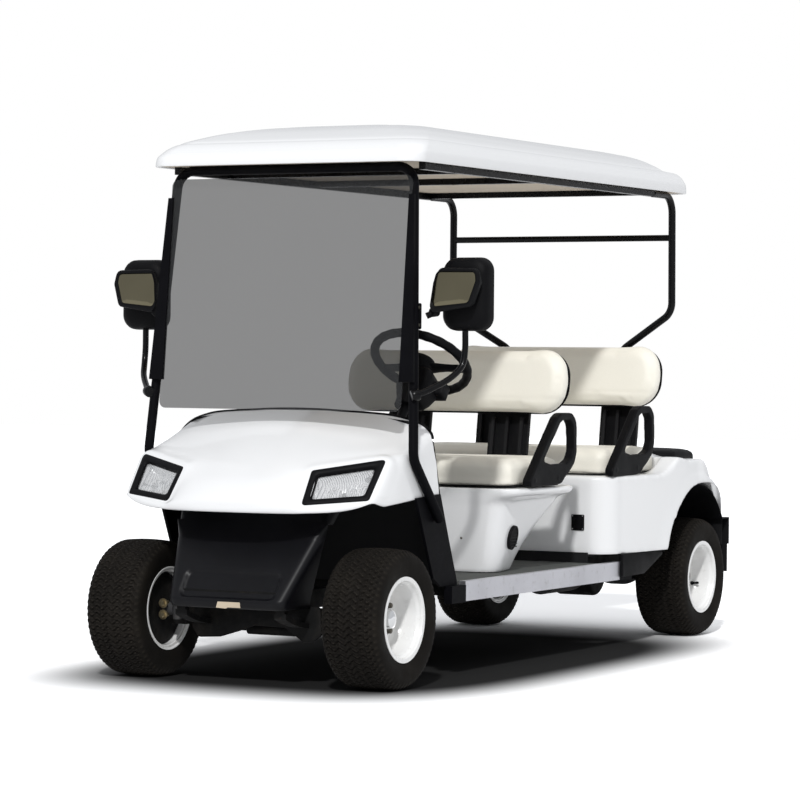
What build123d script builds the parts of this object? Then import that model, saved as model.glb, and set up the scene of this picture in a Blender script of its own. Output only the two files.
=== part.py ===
"""Golf cart with four forward-facing seats, a tinted windscreen and a hard roof.

Millimetres, +Z up. The cart faces -Y and +X is its left, the driver's side. The origin is
on the ground under the middle of the cart. Places at the front are measured back from the
front axle with at_front(), places at the back from the rear axle with at_rear(), and
heights from the top of the floor with up().
"""
from build123d import *
from math import atan2, cos, degrees, radians, sin
import os

os.makedirs("parts", exist_ok=True)

# ---------------------------------------------------------------- driving dimensions
wheelbase = 2501.0
front_overhang = 234.0
rear_overhang = 286.0
floor_above_axle = 97.5
body_half_width = 500.0
rear_half_width = body_half_width + 62
rear_face_half = rear_half_width - 132
running_gap = 0.1        # a pin or shaft in its bore, on the radius
seat_gap = 0.3           # a soft or curved piece on what carries it

# wheels and tyres
tyre_radius = 229.5
tyre_width = 206.0
tread_half_width = 84.0
bead_radius = 127.0
tyre_bead_width = 176.0
rim_lip_radius = 140.0
rim_width = 188.0
rim_wall = 4.0
rim_dish = 98.0          # wheel disc inboard of the rim's outer plane
disc_thickness = 6.0
front_rim_plane = 540.0  # outer plane of the front rims, from the centre line
rear_rim_plane = 534.0
hub_radius = 52.0
hub_length = 60.0
cap_radius = 33.0
cap_height = 50.0
spindle_radius = 14.0
spindle_past_disc = 26.0
spindle_end_gap = 5.0

# chassis
rail_half_spacing = 187.0
rail_width = 46.0
rail_height = 60.0
cross_tube = 40.0
tow_tab_width = 56.0
tow_tab_reach = 56.0
tow_tab_thickness = 10.0
tow_hole_radius = 10.0
floor_thickness = 12.0
floor_half_width = body_half_width - 4
floor_start = 452.0      # behind the front axle
floor_end_before_rear_axle = 901.0
sill_height = 67.0
sill_width = 24.0
sill_start = 472.0
sill_end_before_rear_axle = 758.0
sill_cap_length = 104.0

# front axle and steering
kingpin_out = 316.0
kingpin_radius = 10.0
sleeve_radius = 20.0
sleeve_height = 70.0
beam_size = 46.0
yoke_thickness = 14.0
spring_half_span = 196.0
spring_width = 44.0
spring_thickness = 18.0
spring_rise = 40.0
steering_arm = 105.0     # tie rod ends behind the front axle
arm_thickness = 12.0
differential_radius = 92.0
differential_width = 170.0
motor_radius = 84.0
motor_length = 260.0
tie_rod_radius = 8.0
tie_rod_drop = 64.0      # below the axle
rack_radius = 19.0
rack_half_length = 105.0
column_rake = 53.0       # degrees from level
column_radius = 17.0
steering_wheel_out = 230.0
steering_wheel_back = 691.0
steering_wheel_up = 734.0
steering_wheel_radius = 184.0
steering_grip_radius = 14.0

# roof, glazing and tubes
roof_half_width = body_half_width + 15
roof_front = 96.0        # behind the front axle
roof_back_before_rear_axle = 92.0
roof_edge_up = 1390.0
roof_height = 163.0
post_radius = 16.0
glass_thickness = 5.0
glass_half_width = body_half_width - 37
glass_bottom_up = 571.0
glass_top_up = roof_edge_up - 38
rear_tube_radius = 14.0

# body panels
cowl_wall = 4.0
body_wall = 4.0
roof_wall = 4.0

# seats
deck_half_width = body_half_width + 20
cushion_half_width = body_half_width - 32
cushion_height = 88.0
cushion_corner = 30.0
backrest_half_width = body_half_width - 52
backrest_height = 236.0
backrest_thickness = 74.0
seat_deck_up = 300.0     # top of the moulded seat base

# ---------------------------------------------------------------- places worked out
front_axle_y = (front_overhang - wheelbase - rear_overhang) / 2
rear_axle_y = front_axle_y + wheelbase
axle_z = tyre_radius
floor_z = axle_z + floor_above_axle


def at_front(distance):
    return front_axle_y + distance


def at_rear(distance):
    return rear_axle_y + distance


def up(height):
    return floor_z + height


def save(piece, name):
    piece.part.label = name
    export_step(piece.part, f"parts/{name}.step")


def tube_along(points, bend, radius):
    """Round bar along a polyline with bent corners."""
    with BuildPart() as bar:
        with BuildLine() as path:
            FilletPolyline(*points, radius=bend)
        with BuildSketch(Plane(origin=path.line @ 0, z_dir=path.line % 0)):
            Circle(radius)
        sweep()
    return bar.part


def straight_tube(start, end, radius):
    """Round bar between two points."""
    with BuildPart() as bar:
        with BuildLine() as path:
            Line(start, end)
        with BuildSketch(Plane(origin=path.line @ 0, z_dir=path.line % 0)):
            Circle(radius)
        sweep()
    return bar.part


def box_between(x0, x1, y0, y1, z0, z1):
    """Rectangular block between two corners."""
    with BuildPart() as block:
        with BuildSketch(Plane.XY.offset(z0)):
            with Locations(((x0 + x1) / 2, (y0 + y1) / 2)):
                Rectangle(x1 - x0, y1 - y0)
        extrude(amount=z1 - z0)
    return block.part


# ---------------------------------------------------------------- wheels
def build_wheel(tag, side, rim_plane, y):
    """Tyre and rim of one wheel; profile points are (radius, distance from centre line)."""
    rim_inner = rim_plane - rim_width
    middle = rim_plane - rim_width / 2
    disc_at = rim_plane - rim_dish
    profile = Plane(origin=(0, y, axle_z), x_dir=(0, 0, 1), z_dir=(0, side, 0))
    half_bead = tyre_bead_width / 2
    half_tyre = tyre_width / 2
    seat = bead_radius + seat_gap
    with BuildPart() as tyre:
        with BuildSketch(profile):
            with BuildLine():
                Line((seat, middle - half_bead), (bead_radius + 22, middle - half_bead - 2))
                ThreePointArc(
                    (bead_radius + 22, middle - half_bead - 2),
                    (bead_radius + 52, middle - half_tyre),
                    (tyre_radius - 16, middle - tread_half_width - 8),
                )
                Line(
                    (tyre_radius - 16, middle - tread_half_width - 8),
                    (tyre_radius - 5, middle - tread_half_width + 4),
                )
                ThreePointArc(
                    (tyre_radius - 5, middle - tread_half_width + 4),
                    (tyre_radius, middle),
                    (tyre_radius - 5, middle + tread_half_width - 4),
                )
                Line(
                    (tyre_radius - 5, middle + tread_half_width - 4),
                    (tyre_radius - 16, middle + tread_half_width + 8),
                )
                ThreePointArc(
                    (tyre_radius - 16, middle + tread_half_width + 8),
                    (bead_radius + 52, middle + half_tyre),
                    (bead_radius + 22, middle + half_bead + 2),
                )
                Line((bead_radius + 22, middle + half_bead + 2), (seat, middle + half_bead))
                Line((seat, middle + half_bead), (seat, middle - half_bead))
            make_face()
        revolve(axis=Axis((0, y, axle_z), (1, 0, 0)))
    save(tyre, f"tyre_{tag}")

    bore = spindle_radius + running_gap
    with BuildPart() as rim:
        with BuildSketch(profile):
            with BuildLine():
                Polyline(
                    (bead_radius - rim_wall, rim_inner),
                    (rim_lip_radius, rim_inner),
                    (rim_lip_radius, rim_inner + rim_wall),
                    (bead_radius, rim_inner + rim_wall),
                    (bead_radius, rim_plane - rim_wall),
                    (rim_lip_radius, rim_plane - rim_wall),
                    (rim_lip_radius, rim_plane),
                    (bead_radius - rim_wall, rim_plane),
                    (bead_radius - rim_wall - 6, disc_at + 26),
                    (bead_radius - 42, disc_at + disc_thickness),
                    (bore, disc_at + disc_thickness),
                    (bore, disc_at - hub_length),
                    (hub_radius, disc_at - hub_length),
                    (hub_radius, disc_at),
                    (bead_radius - 42, disc_at),
                    (bead_radius - rim_wall - 12, disc_at + 20),
                    close=True,
                )
            make_face()
        revolve(axis=Axis((0, y, axle_z), (1, 0, 0)))
        # closed cap over the end of the spindle
        with BuildSketch(profile):
            with BuildLine():
                Polyline(
                    (0, disc_at + cap_height),
                    (cap_radius - 6, disc_at + cap_height),
                    (cap_radius, disc_at + cap_height - 8),
                    (cap_radius, disc_at + disc_thickness),
                    (bore, disc_at + disc_thickness),
                    (bore, disc_at + spindle_end_gap + spindle_past_disc),
                    (0, disc_at + spindle_end_gap + spindle_past_disc),
                    close=True,
                )
            make_face()
        revolve(axis=Axis((0, y, axle_z), (1, 0, 0)))
    save(rim, f"rim_{tag}")


for tag, side, rim_plane, y in (
    ("front_left", 1, front_rim_plane, front_axle_y),
    ("front_right", -1, front_rim_plane, front_axle_y),
    ("rear_left", 1, rear_rim_plane, rear_axle_y),
    ("rear_right", -1, rear_rim_plane, rear_axle_y),
):
    build_wheel(tag, side, rim_plane, y)

# ---------------------------------------------------------------- chassis
rail_top = up(-floor_thickness)
rail_bottom = rail_top - rail_height
frame_front = at_front(-204)
frame_back = at_rear(225)
floor_end = at_rear(-floor_end_before_rear_axle)

with BuildPart() as chassis_rails:
    for side in (1, -1):
        middle = side * rail_half_spacing
        add(box_between(middle - rail_width / 2, middle + rail_width / 2,
                        frame_front, frame_back, rail_bottom, rail_top))
save(chassis_rails, "chassis_rails")

with BuildPart() as cross_members:
    # front face and half length of each
    for y, half_length in (
        (frame_front, rail_half_spacing),
        (at_front(floor_start + 20), floor_half_width),
        (at_front(1000), floor_half_width),
        (floor_end - 90, floor_half_width),
        (at_rear(-430), rail_half_spacing),
        (frame_back - cross_tube, rail_half_spacing),
    ):
        add(box_between(-half_length, half_length, y, y + cross_tube,
                        rail_top - cross_tube, rail_top))
    # towing tab with its pin hole
    add(box_between(-tow_tab_width / 2, tow_tab_width / 2, frame_back - 10,
                    frame_back + tow_tab_reach, rail_top - 26, rail_top - 26 + tow_tab_thickness))
    with BuildSketch(Plane.XY.offset(rail_top - 30)):
        with Locations((0, frame_back + tow_tab_reach - tow_tab_width / 2)):
            Circle(tow_hole_radius)
    extrude(amount=tow_tab_thickness + 8, mode=Mode.SUBTRACT)
    # the members butt against the rails
    add(chassis_rails.part, mode=Mode.SUBTRACT)
save(cross_members, "cross_members")

with BuildPart() as floor_pan:
    add(box_between(-floor_half_width, floor_half_width,
                    at_front(floor_start), floor_end, rail_top, floor_z))
save(floor_pan, "floor_pan")

sill_front = at_front(sill_start)
sill_back = at_rear(-sill_end_before_rear_axle)
with BuildPart() as sills:
    for inner in (floor_half_width, -floor_half_width - sill_width):
        add(box_between(inner, inner + sill_width, sill_front, sill_back,
                        floor_z - sill_height, floor_z))
save(sills, "sills")


def sill_end_caps():
    """Black blocks that close the four ends of the sills."""
    for inner in (floor_half_width - 4, -floor_half_width - sill_width - 2):
        for start in (sill_front - sill_cap_length, sill_back):
            add(box_between(inner, inner + sill_width + 6, start, start + sill_cap_length,
                            floor_z - sill_height - 3, floor_z - floor_thickness))

# ---------------------------------------------------------------- front axle
beam_inner = kingpin_out - 34
yoke_half = sleeve_height / 2 + seat_gap

with BuildPart() as front_axle:
    half_beam = beam_size / 2
    add(box_between(-beam_inner, beam_inner, front_axle_y - half_beam,
                    front_axle_y + half_beam, axle_z - half_beam, axle_z + half_beam))
    for side in (1, -1):
        x0 = min(side * (beam_inner - 8), side * beam_inner)
        add(box_between(x0, x0 + 8, front_axle_y - half_beam, front_axle_y + half_beam,
                        axle_z - yoke_half - yoke_thickness,
                        axle_z + yoke_half + yoke_thickness))
        for low in (axle_z - yoke_half - yoke_thickness, axle_z + yoke_half):
            with BuildSketch(Plane.XY.offset(low)):
                with Locations((side * (beam_inner + kingpin_out) / 2, front_axle_y)):
                    Rectangle(kingpin_out - beam_inner, 2 * sleeve_radius)
                with Locations((side * kingpin_out, front_axle_y)):
                    Circle(sleeve_radius)
            extrude(amount=yoke_thickness)
        with BuildSketch(Plane.XY.offset(axle_z - yoke_half)):
            with Locations((side * kingpin_out, front_axle_y)):
                Circle(kingpin_radius)
        extrude(amount=2 * yoke_half)
save(front_axle, "front_axle")


def build_knuckle(tag, side):
    """Sleeve on the kingpin, spindle for the wheel and arm for the tie rod."""
    disc_at = front_rim_plane - rim_dish
    spindle_end = disc_at + spindle_past_disc
    hub_face = disc_at - hub_length
    with BuildPart() as knuckle:
        with BuildSketch(Plane.XY.offset(axle_z - sleeve_height / 2)):
            with Locations((side * kingpin_out, front_axle_y)):
                Circle(sleeve_radius)
                Circle(kingpin_radius + running_gap, mode=Mode.SUBTRACT)
        extrude(amount=sleeve_height)
        # spindle with a shoulder that stops short of the hub
        wheel_side = Plane(origin=(side * (kingpin_out + kingpin_radius + 4), front_axle_y, axle_z),
                           z_dir=(side, 0, 0))
        with BuildSketch(wheel_side):
            Circle(spindle_radius + 8)
        extrude(amount=hub_face - seat_gap - kingpin_out - kingpin_radius - 4)
        with BuildSketch(wheel_side):
            Circle(spindle_radius)
        extrude(amount=spindle_end - kingpin_out - kingpin_radius - 4)
        # steering arm runs back from the foot of the sleeve
        with BuildSketch(Plane.XY.offset(axle_z - sleeve_height / 2)):
            with BuildLine():
                Polyline(
                    (side * (kingpin_out - 16), front_axle_y + kingpin_radius + 4),
                    (side * (kingpin_out + 16), front_axle_y + kingpin_radius + 4),
                    (side * (kingpin_out + 2), front_axle_y + steering_arm + 14),
                    (side * (kingpin_out - 26), front_axle_y + steering_arm + 14),
                    close=True,
                )
            make_face()
        extrude(amount=arm_thickness)
    save(knuckle, f"knuckle_{tag}")


build_knuckle("left", 1)
build_knuckle("right", -1)

# tie rod slides in the rack housing under the front of the frame
rod_y = front_axle_y + steering_arm
rod_z = axle_z - tie_rod_drop
with BuildPart() as tie_rod:
    rod_end = kingpin_out - 12
    add(straight_tube((-rod_end, rod_y, rod_z), (rod_end, rod_y, rod_z), tie_rod_radius))
    for side in (1, -1):
        with BuildSketch(Plane.XY.offset(rod_z - 11)):
            with Locations((side * rod_end, rod_y)):
                Circle(13)
        extrude(amount=22)
        # ball stud up to the foot of the steering arm
        with BuildSketch(Plane.XY.offset(rod_z)):
            with Locations((side * rod_end, rod_y)):
                Circle(7)
        extrude(amount=tie_rod_drop - sleeve_height / 2 - 2 * seat_gap)
save(tie_rod, "tie_rod")

with BuildPart() as steering_rack:
    with BuildSketch(Plane.YZ.offset(-rack_half_length)):
        with Locations((rod_y, rod_z)):
            Circle(rack_radius)
            Circle(tie_rod_radius + running_gap, mode=Mode.SUBTRACT)
    extrude(amount=2 * rack_half_length)
    # hangers up to a bar across the frame's rails
    for side in (1, -1):
        add(box_between(side * 90 - 8, side * 90 + 8, rod_y - 6, rod_y + 6,
                        rod_z + rack_radius - 3, rail_top - cross_tube))
    add(box_between(-rail_half_spacing, rail_half_spacing, rod_y - 14, rod_y + 14,
                    rail_top - cross_tube, rail_top))
    add(chassis_rails.part, mode=Mode.SUBTRACT)
    add(cross_members.part, mode=Mode.SUBTRACT)
save(steering_rack, "steering_rack")


def leaf_spring(side, y, low):
    """Bowed leaf pack; its ends rise to meet hangers under the frame."""
    x0 = side * rail_half_spacing - spring_width / 2
    with BuildPart() as leaf:
        with BuildSketch(Plane.YZ.offset(x0)):
            with BuildLine():
                ThreePointArc((y - spring_half_span, low + spring_rise), (y, low),
                              (y + spring_half_span, low + spring_rise))
                Line((y + spring_half_span, low + spring_rise),
                     (y + spring_half_span, low + spring_rise + spring_thickness))
                ThreePointArc((y + spring_half_span, low + spring_rise + spring_thickness),
                              (y, low + spring_thickness),
                              (y - spring_half_span, low + spring_rise + spring_thickness))
                Line((y - spring_half_span, low + spring_rise + spring_thickness),
                     (y - spring_half_span, low + spring_rise))
            make_face()
        extrude(amount=spring_width)
        for end in (y - spring_half_span, y + spring_half_span - 24):
            add(box_between(x0 + 6, x0 + spring_width - 6, end, end + 24,
                            low + spring_rise + spring_thickness - 4, rail_bottom))
    return leaf.part


spring_low = axle_z - beam_size / 2 - spring_thickness - 2 * seat_gap
with BuildPart() as leaf_springs:
    for side in (1, -1):
        for axle in (front_axle_y, rear_axle_y):
            add(leaf_spring(side, axle, spring_low))
save(leaf_springs, "leaf_springs")

# ---------------------------------------------------------------- rear axle
rear_disc = rear_rim_plane - rim_dish
rear_hub_face = rear_disc - hub_length
with BuildPart() as rear_axle:
    half_beam = beam_size / 2
    add(straight_tube((-rear_hub_face + seat_gap, rear_axle_y, axle_z),
                      (rear_hub_face - seat_gap, rear_axle_y, axle_z), half_beam))
    for side in (1, -1):
        add(straight_tube((side * (rear_hub_face - 20), rear_axle_y, axle_z),
                          (side * (rear_disc + spindle_past_disc), rear_axle_y, axle_z),
                          spindle_radius))
    with BuildSketch(Plane.YZ.offset(-differential_width / 2)):
        with Locations((rear_axle_y, axle_z)):
            Circle(differential_radius)
    extrude(amount=differential_width)
    fillet(rear_axle.edges().filter_by(GeomType.CIRCLE).filter_by(
        lambda edge: abs(edge.radius - differential_radius) < 0.01), radius=18)
save(rear_axle, "rear_axle")

with BuildPart() as drive_motor:
    add(straight_tube((0, rear_axle_y - differential_radius - seat_gap, axle_z + 14),
                      (0, rear_axle_y - differential_radius - motor_length, axle_z + 14),
                      motor_radius))
save(drive_motor, "drive_motor")

# ---------------------------------------------------------------- front body
lip_up = 248.0
cowl_side_bottom_up = 297.0
cowl_top_up = 570.0
scuttle_thickness = 10.0
cowl_half_width = body_half_width - scuttle_thickness
cowl_shoulder = cowl_half_width - 42   # where the plan's nose arc meets its corner
crown_half = cowl_half_width - 60
lamp_out = body_half_width - 48
lamp_corners = {   # left lamp: out from the centre line, behind the front axle, up
    "inner_bottom": (258, -176, 274),
    "outer_bottom": (lamp_out, -96, 291),
    "inner_top": (249, -92, 377),
    "outer_top": (lamp_out + 5, 8, 412),
}
lamp_depth = 62.0
bezel_width = 15.0
bezel_proud = 5.0


def cowl_volume(inset):
    """Bonnet block: plan, side profile and slanted crown, all drawn in by inset."""
    edge = cowl_half_width - inset
    front = inset
    with BuildPart() as block:
        with BuildSketch(Plane.XY.offset(up(lip_up - 60))):
            with BuildLine():
                ThreePointArc((-cowl_shoulder, at_front(-88 + front)),
                              (0, at_front(-230 + front)),
                              (cowl_shoulder, at_front(-88 + front)))
                ThreePointArc((cowl_shoulder, at_front(-88 + front)),
                              (edge - 10, at_front(-40 + front)), (edge, at_front(20 + front)))
                Polyline((edge, at_front(20 + front)), (edge, at_front(330 + inset)),
                         (-edge, at_front(330 + inset)), (-edge, at_front(20 + front)))
                ThreePointArc((-edge, at_front(20 + front)),
                              (-edge + 10, at_front(-40 + front)),
                              (-cowl_shoulder, at_front(-88 + front)))
            make_face()
        extrude(amount=cowl_top_up + 100 - lip_up)
        with BuildSketch(Plane.YZ.offset(-body_half_width)):
            with BuildLine():
                Polyline(
                    (at_front(-236), up(lip_up - 2 - 3 * inset)),
                    (at_front(-10), up(lip_up + 20 - 3 * inset)),
                    (at_front(173), up(cowl_side_bottom_up - 6 - 3 * inset)),
                    (at_front(324 + 2 * inset), up(cowl_side_bottom_up - 3 * inset)),
                    (at_front(285 + 2 * inset), up(461)),
                    (at_front(247 + 2 * inset), up(544)),
                    (at_front(226 + 2 * inset), up(cowl_top_up - inset)),
                )
                ThreePointArc(
                    (at_front(226 + 2 * inset), up(cowl_top_up - inset)),
                    (at_front(10), up(462 - inset)),
                    (at_front(-196), up(318 - inset)),
                )
                Polyline(
                    (at_front(-196), up(318 - inset)),
                    (at_front(-236), up(lip_up + 24 - inset)),
                    (at_front(-236), up(lip_up - 2 - 3 * inset)),
                )
            make_face()
        extrude(amount=2 * body_half_width, mode=Mode.INTERSECT)
        slope = 30.0
        slant = Plane(origin=(0, at_front(-260), up(305 - inset)), x_dir=(-1, 0, 0),
                      z_dir=(0, cos(radians(slope)), sin(radians(slope))))
        with BuildSketch(slant):
            with BuildLine():
                ThreePointArc((crown_half, 10), (0, 46), (-crown_half, 10))
                Line((-crown_half, 10), (-edge, -30))
                Line((-edge, -30), (-edge, -500))
                Line((-edge, -500), (edge, -500))
                Line((edge, -500), (edge, -30))
                Line((edge, -30), (crown_half, 10))
            make_face()
        extrude(amount=900, mode=Mode.INTERSECT)
    return block.part


def lamp_plane(side):
    """Plane of a lamp's face and its four corners in that plane."""
    corner = {name: Vector(side * x, at_front(y), up(z))
              for name, (x, y, z) in lamp_corners.items()}
    across = (corner["outer_bottom"] - corner["inner_bottom"]).normalized()
    rise = corner["inner_top"] - corner["inner_bottom"]
    normal = across.cross(rise).normalized() * side
    face = Plane(origin=corner["inner_bottom"], x_dir=across, z_dir=normal)
    order = ("inner_bottom", "outer_bottom", "outer_top", "inner_top")
    outline = [face.to_local_coords(corner[name]) for name in order]
    return face, [(point.X, point.Y) for point in outline]


def lamp_block(side, start, end, inset):
    """Lamp outline drawn in by inset and extruded from start to end along its normal."""
    face, outline = lamp_plane(side)
    with BuildPart() as block:
        with BuildSketch(face.offset(start)):
            with BuildLine():
                Polyline(*outline, close=True)
            make_face()
            fillet(vertices(), radius=20)
            if inset:
                offset(amount=-inset, mode=Mode.REPLACE)
        extrude(amount=end - start)
    return block.part


with BuildPart() as front_cowl:
    add(cowl_volume(0))
    add(cowl_volume(cowl_wall), mode=Mode.SUBTRACT)
    for side in (1, -1):
        add(lamp_block(side, -160, 120, -seat_gap), mode=Mode.SUBTRACT)
save(front_cowl, "front_cowl")

with BuildPart() as headlamp_bezels:
    for side in (1, -1):
        add(lamp_block(side, -lamp_depth, bezel_proud, 0))
        add(lamp_block(side, -lamp_depth - 1, bezel_proud + 1, bezel_width), mode=Mode.SUBTRACT)
save(headlamp_bezels, "headlamp_bezels")

with BuildPart() as headlamp_lenses:
    for side in (1, -1):
        add(lamp_block(side, -6, -1, bezel_width + seat_gap))
save(headlamp_lenses, "headlamp_lenses")

with BuildPart() as headlamp_reflectors:
    for side in (1, -1):
        add(lamp_block(side, -lamp_depth, -6.5, bezel_width + seat_gap))
        add(lamp_block(side, -lamp_depth + 4, -6, bezel_width + 5), mode=Mode.SUBTRACT)
save(headlamp_reflectors, "headlamp_reflectors")

# black moulding between the wheels, under the bonnet's lip
valance_half_width = 219.0
valance_top_half_width = 292.0


def valance_volume(inset):
    with BuildPart() as block:
        with BuildSketch(Plane.YZ.offset(-valance_top_half_width + inset)):
            with BuildLine():
                Polyline(
                    (at_front(-60 + inset), up(206 + 60 * (inset > 0))),
                    (at_front(-150 + inset), up(206 + 60 * (inset > 0))),
                    (at_front(-202 + inset), up(60)),
                    (at_front(-226 + inset), up(34)),
                    (at_front(-230 + inset), up(-54)),
                    (at_front(-216 + inset), up(-68 + inset)),
                    (at_front(-100), up(-68 + inset)),
                    (at_front(-60 + 3 * inset), up(-30)),
                    close=True,
                )
            make_face()
        extrude(amount=2 * (valance_top_half_width - inset))
        with BuildSketch(Plane.XZ.offset(-at_front(0))):
            with BuildLine():
                Polyline(
                    (-valance_half_width + inset, up(-80)),
                    (valance_half_width - inset, up(-80)),
                    (valance_half_width - inset, up(140)),
                    (valance_top_half_width - inset, up(214)),
                    (valance_top_half_width - inset, up(320)),
                    (-valance_top_half_width + inset, up(320)),
                    (-valance_top_half_width + inset, up(214)),
                    (-valance_half_width + inset, up(140)),
                    close=True,
                )
            make_face()
        extrude(amount=300, mode=Mode.INTERSECT)
    return block.part


with BuildPart() as front_valance:
    add(valance_volume(0))
    add(valance_volume(body_wall), mode=Mode.SUBTRACT)
    # the frame's rails run in through its floor and carry it
    add(chassis_rails.part, mode=Mode.SUBTRACT)
    add(cross_members.part, mode=Mode.SUBTRACT)
save(front_valance, "front_valance")

# black panels that close the sides below the bonnet and carry the posts' feet
with BuildPart() as side_mouldings:
    sill_end_caps()
    for x0 in (body_half_width - scuttle_thickness, -body_half_width):
        with BuildSketch(Plane.YZ.offset(x0)):
            with BuildLine():
                Polyline(
                    (at_front(150), up(cowl_side_bottom_up - 8)),
                    (at_front(322), up(cowl_side_bottom_up - seat_gap)),
                    (at_front(386), up(142)),
                    (at_front(446), up(4)),
                    (at_front(446), up(-11)),
                    (at_front(330), up(-11)),
                    (at_front(276), up(19)),
                    close=True,
                )
            make_face()
        extrude(amount=scuttle_thickness)
save(side_mouldings, "side_mouldings")

# dash and toe board: one bent sheet between the side panels
dash_half_width = body_half_width - scuttle_thickness - seat_gap
dash_shoulder = dash_half_width - 76
with BuildPart() as dashboard:
    with BuildSketch(Plane.YZ.offset(-dash_half_width)):
        with BuildLine():
            Polyline(
                (at_front(227), up(566)),
                (at_front(252), up(566)),
                (at_front(272), up(520)),
                (at_front(300), up(440)),
                (at_front(338), up(300)),
                (at_front(448), up(1)),
                (at_front(448), up(-floor_thickness)),
                (at_front(440), up(-floor_thickness)),
                (at_front(326), up(300)),
                (at_front(288), up(436)),
                (at_front(262), up(512)),
                (at_front(227), up(548)),
                close=True,
            )
        make_face()
    extrude(amount=2 * dash_half_width)
    # crowned top edge that follows the bonnet
    with BuildSketch(Plane.XZ.offset(-at_front(500))):
        with BuildLine():
            ThreePointArc((-dash_shoulder, up(538)), (0, up(566)), (dash_shoulder, up(538)))
            Polyline((dash_shoulder, up(538)), (dash_half_width, up(470)),
                     (dash_half_width, up(-20)), (-dash_half_width, up(-20)),
                     (-dash_half_width, up(470)), (-dash_shoulder, up(538)))
        make_face()
    extrude(amount=400, mode=Mode.INTERSECT)
    add(cowl_volume(0), mode=Mode.SUBTRACT)
save(dashboard, "dashboard")

# ---------------------------------------------------------------- windscreen and front posts
post_foot = (body_half_width + post_radius + seat_gap, 286, 213)
post_knee = (body_half_width + 9, 107, 418)
roof_liner_up = roof_edge_up + 5
post_head = (body_half_width - 47, 204)


def front_point(point, side):
    return (side * point[0], at_front(point[1]), up(point[2]))


post_top_up = roof_liner_up - post_radius - seat_gap
front_points = [
    front_point(post_foot, 1),
    front_point(post_knee, 1),
    (post_head[0], at_front(post_head[1]), up(post_top_up)),
    (-post_head[0], at_front(post_head[1]), up(post_top_up)),
    front_point(post_knee, -1),
    front_point(post_foot, -1),
]
with BuildPart() as front_frame:
    add(tube_along(front_points, 62, post_radius))
    # flats where the feet bolt against the bonnet and the side panels
    add(side_mouldings.part, mode=Mode.SUBTRACT)
    add(front_cowl.part, mode=Mode.SUBTRACT)
save(front_frame, "front_frame")

rake = degrees(atan2(post_head[1] - post_knee[1], post_top_up - post_knee[2]))
glass_plane = Plane(
    origin=(0, at_front(post_knee[1]), up(post_knee[2])),
    x_dir=(1, 0, 0),
    z_dir=(0, -cos(radians(rake)), sin(radians(rake))),
)
glass_stand_off = post_radius + 3
glass_low = glass_bottom_up - post_knee[2]
glass_high = glass_top_up - post_knee[2]
with BuildPart() as windscreen:
    with BuildSketch(glass_plane.offset(glass_stand_off)):
        with Locations((0, (glass_low + glass_high) / 2)):
            RectangleRounded(2 * glass_half_width, glass_high - glass_low, 24)
    extrude(amount=glass_thickness)
save(windscreen, "windscreen")

channel_low = 668.0 - post_knee[2]
channel_high = roof_edge_up - 102 - post_knee[2]
with BuildPart() as windscreen_channels:
    for side in (1, -1):
        with BuildSketch(glass_plane.offset(post_radius + seat_gap)):
            with BuildLine():
                Polyline(
                    (side * (glass_half_width - 9), channel_low),
                    (side * (post_knee[0] - 2), channel_low),
                    (side * (post_head[0] + 20), channel_high),
                    (side * (glass_half_width - 9), channel_high),
                    close=True,
                )
            make_face()
        extrude(amount=glass_thickness + 8)
    add(windscreen.part, mode=Mode.SUBTRACT)
save(windscreen_channels, "windscreen_channels")

# ---------------------------------------------------------------- rear tubes and roof
roof_y0 = at_front(roof_front)
roof_y1 = at_rear(-roof_back_before_rear_axle)
roof_length = roof_y1 - roof_y0
liner_depth = 6.0
roof_corner = 70.0
# levels of the dome: height over the edge, then how far its side, front and back step in
roof_levels = [
    (0, 0, 0, 0),
    (34, 0, 0, 0),
    (66, 12, 46, 8),
    (96, 42, 120, 26),
    (124, 110, 220, 44),
    (146, 210, 350, 66),
    (roof_height, 330, 520, 110),
]
with BuildPart() as roof_shell:
    for height, side_step, front_step, back_step in roof_levels:
        with BuildSketch(Plane.XY.offset(up(roof_edge_up + height))):
            with Locations((0, (roof_y0 + front_step + roof_y1 - back_step) / 2)):
                RectangleRounded(2 * (roof_half_width - side_step),
                                 roof_length - front_step - back_step, roof_corner)
    loft(ruled=True)
    # pocket for the liner
    with BuildSketch(Plane.XY.offset(up(roof_edge_up))):
        with Locations((0, (roof_y0 + roof_y1) / 2)):
            RectangleRounded(2 * (roof_half_width - roof_wall), roof_length - 2 * roof_wall,
                             roof_corner - roof_wall)
    extrude(amount=roof_liner_up - roof_edge_up + liner_depth, mode=Mode.SUBTRACT)
save(roof_shell, "roof_shell")

with BuildPart() as roof_liner:
    with BuildSketch(Plane.XY.offset(up(roof_liner_up))):
        with Locations((0, (roof_y0 + roof_y1) / 2)):
            RectangleRounded(2 * (roof_half_width - roof_wall - seat_gap),
                             roof_length - 2 * (roof_wall + seat_gap),
                             roof_corner - roof_wall - seat_gap)
    extrude(amount=liner_depth)
save(roof_liner, "roof_liner")

roof_rail_out = body_half_width - 40
rail_y0 = at_front(post_head[1]) + post_radius + 3
rail_y1 = at_rear(-380) - seat_gap
with BuildPart() as roof_frame:
    for x0 in (roof_rail_out, -roof_rail_out - 24):
        add(box_between(x0, x0 + 24, rail_y0, rail_y1,
                        up(roof_liner_up - 26), up(roof_liner_up)))
    for y in (rail_y0 + 330, (rail_y0 + rail_y1) / 2, rail_y1 - 40):
        add(box_between(-roof_rail_out - 10, roof_rail_out + 10, y, y + 26,
                        up(roof_liner_up - 22), up(roof_liner_up)))
save(roof_frame, "roof_frame")

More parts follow.
